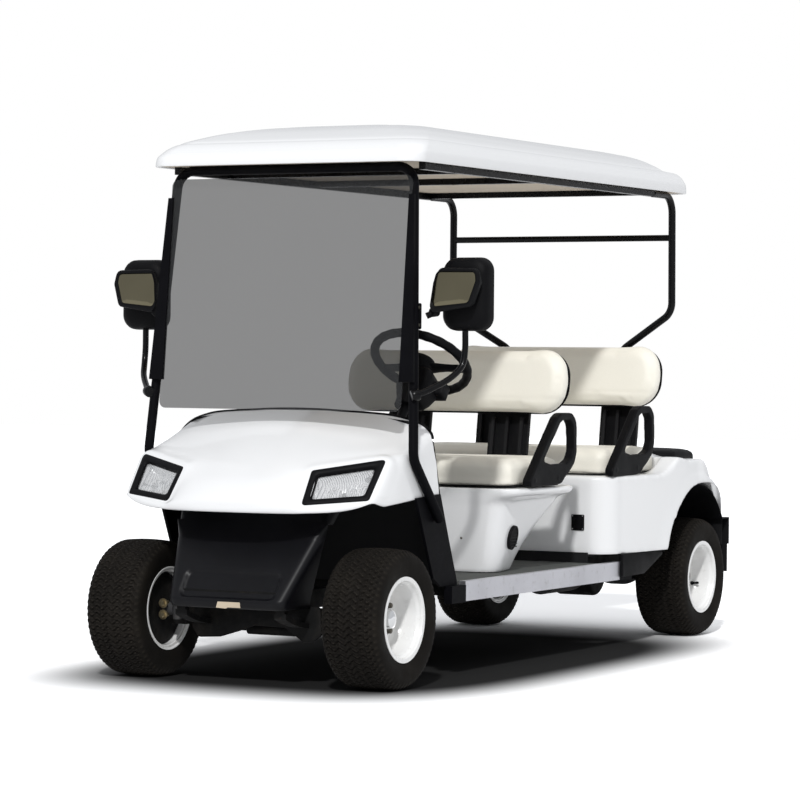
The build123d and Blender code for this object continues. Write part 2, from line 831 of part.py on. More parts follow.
# ---------------------------------------------------------------- front seat base
# half widths front and back, front and back faces
pod_foot = (deck_half_width - 86, deck_half_width - 144, 874, 1136)
deck_front_half = deck_half_width - 72
deck_back_half = deck_half_width - 50
pod_shoulder_up = seat_deck_up - 34
deck_front = 868.0
deck_back = 1446.0
bay_half_width = 380.0
bay_front = 915.0
bay_back = 1235.0


def pod_volume(inset, low, high):
    """Tapered block from the floor to the seat deck."""
    front_half, back_half, front, back = pod_foot
    with BuildPart() as block:
        for height, half_front, half_back, y0, y1 in (
            (low, front_half, back_half, front, back),
            (high, front_half + 14, back_half + 74, front - 3, back + 190),
        ):
            with BuildSketch(Plane.XY.offset(up(height))):
                with BuildLine():
                    Polyline(
                        (-half_front + inset, at_front(y0 + inset)),
                        (half_front - inset, at_front(y0 + inset)),
                        (half_back - inset, at_front(y1 - inset)),
                        (-half_back + inset, at_front(y1 - inset)),
                        close=True,
                    )
                make_face()
                fillet(vertices(), radius=52 - inset)
        loft()
    return block.part


with BuildPart() as front_seat_pod:
    add(pod_volume(0, 0, pod_shoulder_up))
    with BuildSketch(Plane.XY.offset(up(pod_shoulder_up))):
        with BuildLine():
            Polyline(
                (-deck_front_half, at_front(deck_front)),
                (deck_front_half, at_front(deck_front)),
                (deck_half_width, at_front(deck_front + 66)),
                (deck_half_width, at_front(deck_back - 156)),
                (deck_back_half, at_front(deck_back)),
                (-deck_back_half, at_front(deck_back)),
                (-deck_half_width, at_front(deck_back - 156)),
                (-deck_half_width, at_front(deck_front + 66)),
                close=True,
            )
        make_face()
        fillet(vertices(), radius=36)
    extrude(amount=seat_deck_up - pod_shoulder_up)
    add(pod_volume(body_wall, -1, pod_shoulder_up - 1), mode=Mode.SUBTRACT)
    with BuildSketch(Plane.XY.offset(up(pod_shoulder_up - 2))):
        with Locations((0, at_front((bay_front + bay_back) / 2))):
            RectangleRounded(2 * bay_half_width, bay_back - bay_front, 30)
    extrude(amount=60, mode=Mode.SUBTRACT)
save(front_seat_pod, "front_seat_pod")

battery_half_width = 345.0
battery_front = 925.0
battery_back = 1105.0
battery_height = 232.0
with BuildPart() as battery_pack:
    add(box_between(-battery_half_width, battery_half_width, at_front(battery_front),
                    at_front(battery_back), floor_z, up(battery_height)))
save(battery_pack, "battery_pack")

# ---------------------------------------------------------------- rear body
rear_face = -868.0            # front face, behind (-) the rear axle
rear_deck_up = 318.0          # seat deck
rear_top_up = 393.0
rear_back = rear_overhang
recess_half_width = cushion_half_width + 10
recess_back = -286.0


def rear_volume(inset):
    """Rear body block: plan and side profile, drawn in by inset."""
    low = -30 if inset else 23
    with BuildPart() as block:
        with BuildSketch(Plane.XY.offset(up(low))):
            with BuildLine():
                half = rear_half_width - inset
                face_half = rear_face_half - inset
                corner = half - 63
                side_start = half - 40
                tail = half - 62
                Line((-face_half, at_rear(rear_face + inset)),
                     (face_half, at_rear(rear_face + inset)))
                ThreePointArc((face_half, at_rear(rear_face + inset)),
                              (corner, at_rear(rear_face + 32 + inset)),
                              (side_start, at_rear(rear_face + 104)))
                ThreePointArc((side_start, at_rear(rear_face + 104)),
                              (half - 8, at_rear(-460)),
                              (half, at_rear(-120)))
                ThreePointArc((half, at_rear(-120)),
                              (half - 14, at_rear(140)),
                              (tail, at_rear(rear_back - 26 - inset)))
                ThreePointArc((tail, at_rear(rear_back - 26 - inset)),
                              (0, at_rear(rear_back - inset)),
                              (-tail, at_rear(rear_back - 26 - inset)))
                ThreePointArc((-tail, at_rear(rear_back - 26 - inset)),
                              (-half + 14, at_rear(140)),
                              (-half, at_rear(-120)))
                ThreePointArc((-half, at_rear(-120)),
                              (-half + 8, at_rear(-460)),
                              (-side_start, at_rear(rear_face + 104)))
                ThreePointArc((-side_start, at_rear(rear_face + 104)),
                              (-corner, at_rear(rear_face + 32 + inset)),
                              (-face_half, at_rear(rear_face + inset)))
            make_face()
        extrude(amount=rear_top_up + 30 - low)
        with BuildSketch(Plane.YZ.offset(-rear_half_width)):
            with BuildLine():
                Polyline(
                    (at_rear(rear_back + 1), up(126)),
                    (at_rear(188), up(126)),
                    (at_rear(188), up(low)),
                    (at_rear(rear_face - 1), up(low)),
                    (at_rear(rear_face - 1), up(rear_deck_up - inset)),
                    (at_rear(-450), up(rear_deck_up - inset)),
                )
                ThreePointArc(
                    (at_rear(-450), up(rear_deck_up - inset)),
                    (at_rear(-370), up(rear_deck_up + 24 - inset)),
                    (at_rear(-300), up(rear_top_up - 12 - inset)),
                )
                ThreePointArc(
                    (at_rear(-300), up(rear_top_up - 12 - inset)),
                    (at_rear(-10), up(rear_top_up - inset)),
                    (at_rear(240), up(rear_top_up - 44 - inset)),
                )
                ThreePointArc(
                    (at_rear(240), up(rear_top_up - 44 - inset)),
                    (at_rear(272), up(rear_top_up - 64 - inset)),
                    (at_rear(rear_back + 1), up(rear_top_up - 104 - inset)),
                )
                Line((at_rear(rear_back + 1), up(rear_top_up - 104 - inset)),
                     (at_rear(rear_back + 1), up(126)))
            make_face()
        extrude(amount=2 * rear_half_width, mode=Mode.INTERSECT)
        # recess that the rear cushion drops into
        add(box_between(-recess_half_width - inset, recess_half_width + inset,
                        at_rear(rear_face - 2), at_rear(recess_back) + inset,
                        up(rear_deck_up - inset), up(rear_top_up + 40)),
            mode=Mode.SUBTRACT)
    return block.part


arch_inner = 318.0
arch_back = 258.0


def arch_volume(side, grow, inner, outer):
    """Space over a rear wheel, drawn from the side and run outwards."""
    x0 = min(side * inner, side * outer)
    with BuildPart() as block:
        with BuildSketch(Plane.YZ.offset(x0)):
            with BuildLine():
                Line((at_rear(arch_back), up(-60)), (at_rear(-396), up(-60)))
                Line((at_rear(-396), up(-60)), (at_rear(-394), up(28)))
                ThreePointArc((at_rear(-394), up(28)), (at_rear(-264), up(212)),
                              (at_rear(-92), up(270)))
                ThreePointArc((at_rear(-92), up(270)), (at_rear(80), up(228)),
                              (at_rear(188), up(126)))
                Line((at_rear(188), up(126)), (at_rear(arch_back), up(126)))
                Line((at_rear(arch_back), up(126)), (at_rear(arch_back), up(-60)))
            make_face()
            if grow:
                offset(amount=grow, kind=Kind.INTERSECTION)
        extrude(amount=outer - inner)
    return block.part


with BuildPart() as rear_body:
    add(rear_volume(0))
    add(rear_volume(body_wall), mode=Mode.SUBTRACT)
    for side in (1, -1):
        add(arch_volume(side, 0, arch_inner, rear_half_width + 20), mode=Mode.SUBTRACT)
    with BuildSketch(Plane.XY.offset(up(rear_deck_up - 20))):
        with Locations((0, at_rear(-640))):
            RectangleRounded(2 * bay_half_width, 260, 30)
    extrude(amount=40, mode=Mode.SUBTRACT)
save(rear_body, "rear_body")

rear_tube_up = roof_liner_up - rear_tube_radius - seat_gap
rear_post_out = body_half_width - 26
rear_tube_points = [
    (rear_post_out - 2, at_rear(-380), up(rear_tube_up)),
    (rear_post_out - 2, at_rear(-188), up(rear_tube_up)),
    (rear_post_out, at_rear(-186), up(930)),
    (236, at_rear(-138), up(780)),
    (236, at_rear(-138), up(370)),
]
rear_bar_up = 1219.0
with BuildPart() as rear_frame:
    for side in (1, -1):
        points = [(side * x, y, z) for x, y, z in rear_tube_points]
        add(tube_along(points, 70, rear_tube_radius))
    add(straight_tube((-rear_post_out + 1, at_rear(-187), up(rear_bar_up)),
                      (rear_post_out - 1, at_rear(-187), up(rear_bar_up)),
                      rear_tube_radius - 2))
    add(rear_volume(0), mode=Mode.SUBTRACT)
save(rear_frame, "rear_frame")

liner_outer = rear_half_width - 22
with BuildPart() as rear_mouldings:
    for side in (1, -1):
        add(arch_volume(side, 0, arch_inner, liner_outer))
        add(arch_volume(side, -body_wall, arch_inner + body_wall, liner_outer + 1),
            mode=Mode.SUBTRACT)
        add(box_between(-600, 600, at_rear(-420), at_rear(260), up(-70), up(20)),
            mode=Mode.SUBTRACT)
    # mud flaps hang from the liners' rear walls
    flap_width = 200.0
    for side in (1, -1):
        x0 = side * (rear_face_half + 2) - flap_width / 2
        add(box_between(x0, x0 + flap_width, at_rear(arch_back - 4), at_rear(arch_back + 2),
                        up(-90), up(120)))
    # kick strip under the body's front face
    strip_half = rear_face_half + 10
    add(box_between(-strip_half, strip_half, at_rear(rear_face - 8), at_rear(rear_face),
                    floor_z, up(36)))
save(rear_mouldings, "rear_mouldings")

with BuildPart() as rear_deck:
    with BuildSketch(Plane.YZ.offset(-rear_face_half)):
        with BuildLine():
            ThreePointArc((at_rear(-110), up(rear_top_up - 2)), (at_rear(20), up(rear_top_up)),
                          (at_rear(214), up(rear_top_up - 32)))
            Line((at_rear(214), up(rear_top_up - 32)), (at_rear(214), up(rear_top_up - 24)))
            ThreePointArc((at_rear(214), up(rear_top_up - 24)), (at_rear(20), up(rear_top_up + 8)),
                          (at_rear(-110), up(rear_top_up + 6)))
            Line((at_rear(-110), up(rear_top_up + 6)), (at_rear(-110), up(rear_top_up - 2)))
        make_face()
    extrude(amount=2 * rear_face_half)
    add(rear_volume(0), mode=Mode.SUBTRACT)
save(rear_deck, "rear_deck")

socket_out = rear_face_half - 32
socket_up = 146.0
socket_bore = 17.0
socket_depth = 12.0
with BuildPart() as charging_socket:
    add(box_between(socket_out - 26, socket_out + 26, at_rear(rear_face - socket_depth),
                    at_rear(rear_face), up(socket_up - 30), up(socket_up + 30)))
    with BuildSketch(Plane.XZ.offset(-at_rear(rear_face))):
        with Locations((socket_out, up(socket_up))):
            Circle(socket_bore)
    extrude(amount=socket_depth, mode=Mode.SUBTRACT)
save(charging_socket, "charging_socket")

# ---------------------------------------------------------------- seats
def cushion(half_width, y0, y1, low, height, radius):
    """Closed rounded block for a seat bottom."""
    with BuildPart() as pad:
        with BuildSketch(Plane.XY.offset(low)):
            with Locations((0, (y0 + y1) / 2)):
                RectangleRounded(2 * half_width, y1 - y0, radius + 20)
        extrude(amount=height)
        fillet(pad.faces().sort_by(Axis.Z)[-1].edges(), radius=radius)
    return pad.part


def backrest_face(y, low, tilt):
    """Tilted plane of a backrest's front face; its origin is the bottom edge."""
    return Plane(origin=(0, y, low), x_dir=(-1, 0, 0),
                 z_dir=(0, cos(radians(tilt)), -sin(radians(tilt))))


def upright_block(face, half_width, height, start, thickness, radius, soften):
    """Rounded pad standing on its long edge against a tilted plane."""
    with BuildPart() as pad:
        with BuildSketch(face.offset(start)):
            with Locations((0, height / 2)):
                RectangleRounded(2 * half_width, height, radius)
        extrude(amount=thickness)
        if soften:
            fillet(pad.faces().sort_by(Axis.Y)[0].edges(), radius=soften)
    return pad.part


backrest_tilt = 9.0
backrest_low_gap = 258.0      # bottom of a backrest above the seat deck
shell_thickness = 14.0
support_thickness = 18.0
support_rise = 150.0          # supports run this far up behind a backrest
rows = {   # cushion front and back, seat deck, backrest face, supports' inner and outer edge
    "front": (at_front(deck_front + 16), at_front(deck_back - 94), up(seat_deck_up),
              at_front(deck_back - 84), 123, 282),
    "rear": (at_rear(-776), at_rear(-306), up(rear_deck_up), at_rear(-296), 190, 345),
}
row_faces = {
    row: backrest_face(back_y, deck_z + backrest_low_gap, backrest_tilt)
    for row, (_, _, deck_z, back_y, _, _) in rows.items()
}
for row, (seat_y0, seat_y1, deck_z, _, _, _) in rows.items():
    with BuildPart() as seat_cushion:
        add(cushion(cushion_half_width, seat_y0, seat_y1, deck_z + seat_gap, cushion_height,
                    cushion_corner))
    save(seat_cushion, f"{row}_seat_cushion")

with BuildPart() as backrests:
    for face in row_faces.values():
        add(upright_block(face, backrest_half_width, backrest_height, 0,
                          backrest_thickness, 60, 26))
save(backrests, "backrests")

shell_start = backrest_thickness + seat_gap
with BuildPart() as backrest_shells:
    for face in row_faces.values():
        add(upright_block(face, backrest_half_width - 6, backrest_height - 10,
                          shell_start, shell_thickness, 56, 0))
save(backrest_shells, "backrest_shells")

support_start = shell_start + shell_thickness + seat_gap
with BuildPart() as backrest_supports:
    for row, (_, _, deck_z, _, inner, outer) in rows.items():
        low = -backrest_low_gap - 40
        for side in (1, -1):
            middle = side * (inner + outer) / 2
            with BuildSketch(row_faces[row].offset(support_start)):
                with Locations((-middle, (low + support_rise) / 2)):
                    Rectangle(outer - inner, support_rise - low)
            extrude(amount=support_thickness)
            # ribs on the front of the plate, below the backrest
            with BuildSketch(row_faces[row].offset(support_start)):
                for share in (-0.36, 0, 0.36):
                    with Locations((-middle + share * (outer - inner), (low - 12) / 2)):
                        Rectangle(12, -12 - low)
            extrude(amount=-16)
        if row == "front":
            add(box_between(-400, 400, at_front(1200), at_front(1600), deck_z - 90, deck_z),
                mode=Mode.SUBTRACT)
    add(rear_volume(0), mode=Mode.SUBTRACT)
save(backrest_supports, "backrest_supports")

# ---------------------------------------------------------------- armrests
arm_thickness_x = 26.0
arm_half_spacing = deck_half_width - 26
arm_outline = [(974, 3), (1238, 247), (1280, 257), (1338, 238), (1350, 113), (1302, 60),
               (1250, 12), (1190, 0), (980, 0)]
arm_hole = [(1133, 84), (1254, 211), (1272, 130), (1190, 78)]
rear_arm_foot = -827.0            # front end of a rear armrest's foot, from the rear axle
with BuildPart() as armrests:
    for shift, deck_z in (
        (at_front(0), up(seat_deck_up)),
        (at_rear(rear_arm_foot - arm_outline[0][0]), up(rear_deck_up)),
    ):
        for x0 in (arm_half_spacing, -arm_half_spacing - arm_thickness_x):
            with BuildSketch(Plane.YZ.offset(x0)):
                with BuildLine():
                    Polyline(*[(shift + y, deck_z + z) for y, z in arm_outline], close=True)
                make_face()
                fillet(vertices(), radius=2.5)
                with BuildLine():
                    Polyline(*[(shift + y, deck_z + z) for y, z in arm_hole], close=True)
                make_face(mode=Mode.SUBTRACT)
            extrude(amount=arm_thickness_x)
save(armrests, "armrests")

# ---------------------------------------------------------------- mirrors and side lamps
mirror_centre = (body_half_width + 122, 257, 953)
mirror_size = (165, 62, 240)      # wide, deep, high


def upright_plane(centre, side, facing):
    """Vertical plane across the cart at a point, looking forwards (-1) or backwards (1)."""
    x, y, z = centre
    return Plane(origin=(side * x, at_front(y), up(z)), x_dir=(1, 0, 0), z_dir=(0, facing, 0))


mirror_recess = mirror_size[1] / 2 - 8
with BuildPart() as mirror_housings:
    for side in (1, -1):
        with BuildSketch(upright_plane(mirror_centre, side, -1).offset(-mirror_size[1] / 2)):
            RectangleRounded(mirror_size[0], mirror_size[2], 44)
        extrude(amount=mirror_size[1])
    fillet(mirror_housings.faces().filter_by(Plane.XZ).sort_by(Axis.Y)[:2].edges(), radius=26)
    for side in (1, -1):
        with BuildSketch(upright_plane(mirror_centre, side, 1).offset(mirror_recess)):
            RectangleRounded(mirror_size[0] - 16, mirror_size[2] - 16, 38)
        extrude(amount=10, mode=Mode.SUBTRACT)
save(mirror_housings, "mirror_housings")

with BuildPart() as mirror_glasses:
    for side in (1, -1):
        with BuildSketch(upright_plane(mirror_centre, side, 1).offset(mirror_recess)):
            RectangleRounded(mirror_size[0] - 17, mirror_size[2] - 17, 37)
        extrude(amount=3)
save(mirror_glasses, "mirror_glasses")

# clamps grip the posts at this height, and the stems curve up to the mirrors
clamp_up = 640.0
clamp_share = (clamp_up - post_knee[2]) / (post_top_up - post_knee[2])
clamp_out = post_knee[0] + clamp_share * (post_head[0] - post_knee[0])
clamp_back = post_knee[1] + clamp_share * (post_head[1] - post_knee[1])
with BuildPart() as mirror_stems:
    for side in (1, -1):
        add(tube_along([
            (side * (clamp_out + 24), at_front(clamp_back + 8), up(clamp_up)),
            (side * (clamp_out + 52), at_front(190), up(clamp_up + 40)),
            (side * (clamp_out + 76), at_front(240), up(clamp_up + 120)),
            (side * (mirror_centre[0] - 10), at_front(mirror_centre[1]),
             up(mirror_centre[2] - mirror_size[2] / 2 + 2)),
        ], 26, 8))
        with BuildSketch(Plane.XY.offset(up(clamp_up - 22))):
            with Locations((side * clamp_out, at_front(clamp_back))):
                Circle(28)
        extrude(amount=44)
        with BuildSketch(Plane.YZ.offset(side * (clamp_out + 22) - 10)):
            with Locations((at_front(clamp_back + 6), up(clamp_up))):
                Circle(15)
        extrude(amount=20)
    add(tube_along(front_points, 62, post_radius + seat_gap), mode=Mode.SUBTRACT)
    add(mirror_housings.part, mode=Mode.SUBTRACT)
save(mirror_stems, "mirror_stems")

lamp_centre = (body_half_width + 92, 196, 975)
with BuildPart() as side_lamps:
    for side in (1, -1):
        with BuildSketch(upright_plane(lamp_centre, side, -1).offset(-14)):
            RectangleRounded(158, 142, 22)
        extrude(amount=28)
        # bracket from the front post
        plate_middle = side * (lamp_centre[0] - 90)
        add(box_between(plate_middle - 18, plate_middle + 18,
                        at_front(180), at_front(186), up(930), up(1006)))
        add(straight_tube((side * (lamp_centre[0] - 74), at_front(183), up(965)),
                          (side * (lamp_centre[0] - 32), at_front(190), up(965)), 11))
    add(tube_along(front_points, 62, post_radius + seat_gap), mode=Mode.SUBTRACT)
save(side_lamps, "side_lamps")

# ---------------------------------------------------------------- controls
rake_vector = Vector(0, cos(radians(column_rake)), sin(radians(column_rake)))
wheel_centre = Vector(steering_wheel_out, at_front(steering_wheel_back), up(steering_wheel_up))
wheel_plane = Plane(origin=wheel_centre, x_dir=(1, 0, 0), z_dir=rake_vector)
shaft_radius = 10.0
hub_height = 34.0
hub_drop = 58.0
rim_radius = steering_wheel_radius - steering_grip_radius
with BuildPart() as steering_wheel:
    with BuildSketch(Plane(origin=wheel_centre, x_dir=(1, 0, 0),
                           z_dir=Vector(1, 0, 0).cross(rake_vector))):
        with Locations((rim_radius, 0)):
            Circle(steering_grip_radius)
    revolve(axis=Axis(wheel_centre, rake_vector))
    hub_plane = wheel_plane.offset(-hub_drop)
    with BuildSketch(hub_plane):
        Circle(44)
    extrude(amount=hub_height)
    for angle in (90, -15, 195):
        direction = wheel_plane.from_local_coords(Vector(cos(radians(angle)), sin(radians(angle)), 0))
        outward = (direction - wheel_centre).normalized()
        start = wheel_centre - rake_vector * (hub_drop - hub_height / 2) + outward * 30
        end = wheel_centre + outward * (rim_radius - 4)
        add(straight_tube(start, end, 9))
    with BuildSketch(hub_plane.offset(-1)):
        Circle(shaft_radius + running_gap)
    extrude(amount=hub_height - 9, mode=Mode.SUBTRACT)
save(steering_wheel, "steering_wheel")

column_top = wheel_centre - rake_vector * (hub_drop + 5)
column_length = 620.0
with BuildPart() as steering_column:
    column_plane = Plane(origin=column_top, x_dir=(1, 0, 0), z_dir=rake_vector)
    with BuildSketch(column_plane):
        Circle(shaft_radius)
    extrude(amount=hub_height - 8)
    with BuildSketch(column_plane):
        Circle(38)
    extrude(amount=-130)
    with BuildSketch(column_plane):
        Circle(column_radius)
    extrude(amount=-column_length)
    # trimmed where it meets the toe board
    with BuildSketch(Plane.YZ.offset(0)):
        with BuildLine():
            Polyline(
                (at_front(-200), up(562)),
                (at_front(252 + seat_gap), up(562)),
                (at_front(272 + seat_gap), up(520)),
                (at_front(300 + seat_gap), up(440)),
                (at_front(338 + seat_gap), up(300)),
                (at_front(448), up(1)),
                (at_front(-200), up(1)),
                close=True,
            )
        make_face()
    extrude(amount=500, mode=Mode.SUBTRACT)
save(steering_column, "steering_column")

with BuildPart() as pedals:
    for x0, width in ((120, 62), (220, 92)):
        add(box_between(x0, x0 + width, at_front(430), at_front(438), up(70), up(160)))
        add(box_between(x0 + width / 2 - 7, x0 + width / 2 + 7, at_front(330), at_front(431),
                        up(100), up(116)))
    with BuildSketch(Plane.YZ.offset(0)):
        with BuildLine():
            Polyline((at_front(200), up(300)), (at_front(338 + seat_gap), up(300)),
                     (at_front(448 + seat_gap), up(1)), (at_front(200), up(1)), close=True)
        make_face()
    extrude(amount=500, mode=Mode.SUBTRACT)
save(pedals, "pedals")
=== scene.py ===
"""Looks of a four-seat electric golf cart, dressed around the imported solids.

The pieces ride on the bodies of the frame, in metres, with +Z up and -Y to the front.
"""

import math
import random

import bmesh
import bpy
import numpy as np
from mathutils import Matrix, Vector
from mathutils.bvhtree import BVHTree


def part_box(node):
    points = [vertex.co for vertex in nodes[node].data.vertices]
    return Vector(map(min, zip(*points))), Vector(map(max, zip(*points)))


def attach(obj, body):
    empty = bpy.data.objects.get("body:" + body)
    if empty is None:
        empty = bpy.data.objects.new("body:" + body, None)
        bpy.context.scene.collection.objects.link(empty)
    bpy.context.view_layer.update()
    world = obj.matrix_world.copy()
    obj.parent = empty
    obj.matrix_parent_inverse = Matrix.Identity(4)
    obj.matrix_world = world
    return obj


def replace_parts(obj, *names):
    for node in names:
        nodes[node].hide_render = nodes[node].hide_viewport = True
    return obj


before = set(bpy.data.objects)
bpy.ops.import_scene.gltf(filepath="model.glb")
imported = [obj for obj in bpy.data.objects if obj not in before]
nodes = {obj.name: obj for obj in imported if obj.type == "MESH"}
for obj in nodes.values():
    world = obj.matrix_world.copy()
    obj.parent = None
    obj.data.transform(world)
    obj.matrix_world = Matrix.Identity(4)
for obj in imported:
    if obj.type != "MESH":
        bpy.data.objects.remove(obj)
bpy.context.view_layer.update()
rng = random.Random(7)

# Places that several pieces share, in metres.
FRONT_AXLE = -1.2765
REAR_AXLE = 1.2245
AXLE_Z = 0.2295
FLOOR_TOP = 327   # the floor's height, in millimetres
FLOOR_Z = FLOOR_TOP / 1000


# Materials


def fill(node, values):
    """Gives a node's inputs their values, each a number, a colour or another node's output."""
    for key, value in values.items():
        if isinstance(value, bpy.types.NodeSocket):
            node.id_data.links.new(value, node.inputs[key])
        else:
            node.inputs[key].default_value = value


def add_node(tree, kind, values=None, **settings):
    node = tree.nodes.new("ShaderNode" + kind)
    for key, value in settings.items():
        setattr(node, key, value)
    fill(node, values or {})
    return node


class Shade:
    """A Principled material whose colour, roughness and bump come from noise in object space."""

    def __init__(self, name, colour, rough, metal=0.0):
        self.material = bpy.data.materials.new(name)
        self.material.use_nodes = True
        self.tree = self.material.node_tree
        self.shader = self.tree.nodes["Principled BSDF"]
        self.inputs = {"Base Color": (*colour, 1), "Roughness": rough, "Metallic": metal}
        self.coordinates = self.make("TexCoord").outputs["Object"]

    def make(self, kind, values=None, **settings):
        return add_node(self.tree, kind, values, **settings)

    def noise(self, scale, detail=3.0, roughness=0.5, stretch=None):
        spot = self.coordinates
        if stretch:
            spot = self.make("Mapping", {"Scale": stretch, "Vector": spot}).outputs["Vector"]
        values = {"Scale": scale, "Detail": detail, "Roughness": roughness, "Vector": spot}
        return self.make("TexNoise", values).outputs["Fac"]

    def cells(self, scale):
        values = {"Scale": scale, "Vector": self.coordinates}
        return self.make("TexVoronoi", values).outputs["Distance"]

    def waves(self, scale):
        """Bands that follow each other along x."""
        values = {"Scale": scale, "Vector": self.coordinates}
        return self.make("TexWave", values).outputs["Fac"]

    def ramp(self, source, low, high, start=0.0, end=1.0):
        values = {"Value": source, "From Min": low, "From Max": high, "To Min": start, "To Max": end}
        return self.make("MapRange", values).outputs["Result"]

    def edges(self, low, high):
        """High where the surface is sharply bent."""
        return self.ramp(self.make("NewGeometry").outputs["Pointiness"], low, high)

    def tint(self, mask, colour):
        """Turns the colour towards another where the mask is high."""
        values = {"Factor": mask, "A": self.inputs["Base Color"], "B": (*colour, 1)}
        self.inputs["Base Color"] = self.make("Mix", values, data_type="RGBA").outputs["Result"]

    def rougher(self, mask, amount):
        values = {0: mask, 1: amount, 2: self.inputs["Roughness"]}
        self.inputs["Roughness"] = self.make("Math", values, operation="MULTIPLY_ADD").outputs[0]

    def bump(self, height, depth):
        """Adds a height, in metres at its highest."""
        values = {"Strength": 1.0, "Distance": depth, "Height": height}
        if "Normal" in self.inputs:
            values["Normal"] = self.inputs["Normal"]
        self.inputs["Normal"] = self.make("Bump", values).outputs["Normal"]

    def set(self, **values):
        self.inputs.update({key.replace("_", " "): number for key, number in values.items()})
        return self

    def done(self):
        fill(self.shader, self.inputs)
        return self.material


def gloss_white(name, colour):
    """Moulded gelcoat under a clear gloss, faintly clouded and specked with dust."""
    m = Shade(name, colour, 0.24)
    m.tint(m.ramp(m.noise(1.3, 1), 0.1, 0.95, 0, 0.3), [0.96 * c for c in colour])
    m.tint(m.ramp(m.noise(260, 2), 0.62, 0.75, 0, 0.12), (0.55, 0.53, 0.48))
    m.rougher(m.noise(3, 1), 0.03)
    m.bump(m.noise(420, 1), 0.00003)
    return m.set(Coat_Weight=0.6, Coat_Roughness=0.06, Specular_IOR_Level=0.5).done()


def moulded_black(name, rough=0.48, grain=900.0):
    """Grained black plastic, a little greyer on its worn edges."""
    m = Shade(name, (0.0035, 0.0035, 0.0042), rough)
    m.tint(m.ramp(m.noise(5, 5), 0.4, 0.8, 0, 0.6), (0.006, 0.006, 0.007))
    m.tint(m.edges(0.55, 0.64), (0.016, 0.016, 0.017))
    m.rougher(m.ramp(m.noise(14, 4), 0.3, 0.8), 0.14)
    m.bump(m.cells(grain), 0.00012)
    return m.set(Specular_IOR_Level=0.09).done()


def painted_black(name):
    """Powder coat over steel tube."""
    m = Shade(name, (0.0025, 0.0025, 0.003), 0.22)
    m.tint(m.ramp(m.noise(9, 4), 0.45, 0.8, 0, 0.5), (0.007, 0.007, 0.008))
    m.rougher(m.ramp(m.noise(30, 3), 0.3, 0.8), 0.14)
    m.bump(m.noise(700, 2), 0.00006)
    return m.set(Coat_Weight=0.1, Coat_Roughness=0.1, Specular_IOR_Level=0.12).done()


def chassis_black(name):
    """Dull undercarriage paint with dried dirt and specks of rust."""
    m = Shade(name, (0.005, 0.005, 0.005), 0.6)
    m.tint(m.ramp(m.noise(11, 6, 0.65), 0.5, 0.8, 0, 0.7), (0.026, 0.022, 0.018))
    m.tint(m.ramp(m.noise(75, 4, 0.7), 0.68, 0.76), (0.045, 0.02, 0.01))
    m.rougher(m.ramp(m.noise(30, 4), 0.3, 0.8), 0.25)
    m.bump(m.noise(240, 4), 0.0004)
    return m.set(Specular_IOR_Level=0.15).done()


def bare_metal(name, colour, rough, brushed=None, dirt=0.0):
    """Metal dulled by handling and dirt; its scratches follow one direction where it is brushed."""
    m = Shade(name, colour, rough, 1.0)
    m.tint(m.ramp(m.noise(4, 5), 0.35, 0.8), [0.78 * c for c in colour])
    m.rougher(m.noise(90, 3, 0.6, brushed), 0.18)
    if dirt:
        m.tint(m.ramp(m.noise(38, 5, 0.7), 0.55, 0.72, 0, dirt), (0.1, 0.07, 0.045))
    m.bump(m.noise(160, 2, 0.5, brushed), 0.00006)
    return m.done()


def chromed(name):
    m = Shade(name, (0.86, 0.87, 0.88), 0.06, 1.0)
    m.tint(m.ramp(m.noise(7, 4), 0.4, 0.8), (0.72, 0.73, 0.75))
    m.rougher(m.ramp(m.noise(60, 4), 0.45, 0.8), 0.1)
    m.bump(m.noise(30, 2), 0.00005)
    return m.done()


def fluted_mirror_painted_bands(name):
    """Lamp bowl: bright metal with upright bands of painted reflection, light and dark."""
    m = Shade(name, (0.97, 0.97, 0.97), 0.25, 0.25)
    # the dark bands are painted reflection
    m.tint(m.ramp(m.waves(46), 0.5, 0.85), (0.26, 0.265, 0.275))
    m.tint(m.ramp(m.noise(26, 3, 0.6), 0.6, 0.66), (0.08, 0.082, 0.088))
    m.rougher(m.ramp(m.noise(60, 4), 0.45, 0.8), 0.1)
    m.bump(m.waves(38), 0.0004)
    return m.done()


def ribbed_floor(name):
    """Black floor mat, ribbed along the cart."""
    m = Shade(name, (0.05, 0.055, 0.05), 0.7)
    m.tint(m.ramp(m.noise(6, 6, 0.6), 0.45, 0.8, 0, 0.7), (0.12, 0.115, 0.1))
    m.rougher(m.noise(40), 0.15)
    m.bump(m.waves(22), 0.0016)
    m.bump(m.noise(300), 0.0002)
    return m.done()


def tyre_black(name):
    """Weathered rubber with an olive cast and fine moulding grain."""
    m = Shade(name, (0.006, 0.005, 0.004), 0.72)
    m.tint(m.ramp(m.noise(7, 5, 0.6), 0.42, 0.8, 0, 0.7), (0.015, 0.0125, 0.0095))
    m.tint(m.edges(0.52, 0.6), (0.032, 0.027, 0.021))
    m.rougher(m.ramp(m.noise(25, 4), 0.3, 0.8), 0.16)
    m.bump(m.noise(420, 3), 0.0003)
    return m.set(Specular_IOR_Level=0.12).done()


def enamel_white(name):
    """Gloss enamel on the pressed wheels, darker and browner in its hollows."""
    m = Shade(name, (0.83, 0.83, 0.82), 0.2)
    m.tint(m.ramp(m.edges(0.4, 0.5), 0, 1, 0.5, 0), (0.42, 0.39, 0.34))
    m.tint(m.ramp(m.noise(55, 5, 0.7), 0.6, 0.78, 0, 0.35), (0.3, 0.26, 0.2))
    m.rougher(m.ramp(m.noise(18, 4), 0.4, 0.8), 0.15)
    m.bump(m.noise(350), 0.00005)
    return m.set(Coat_Weight=0.6, Coat_Roughness=0.06).done()


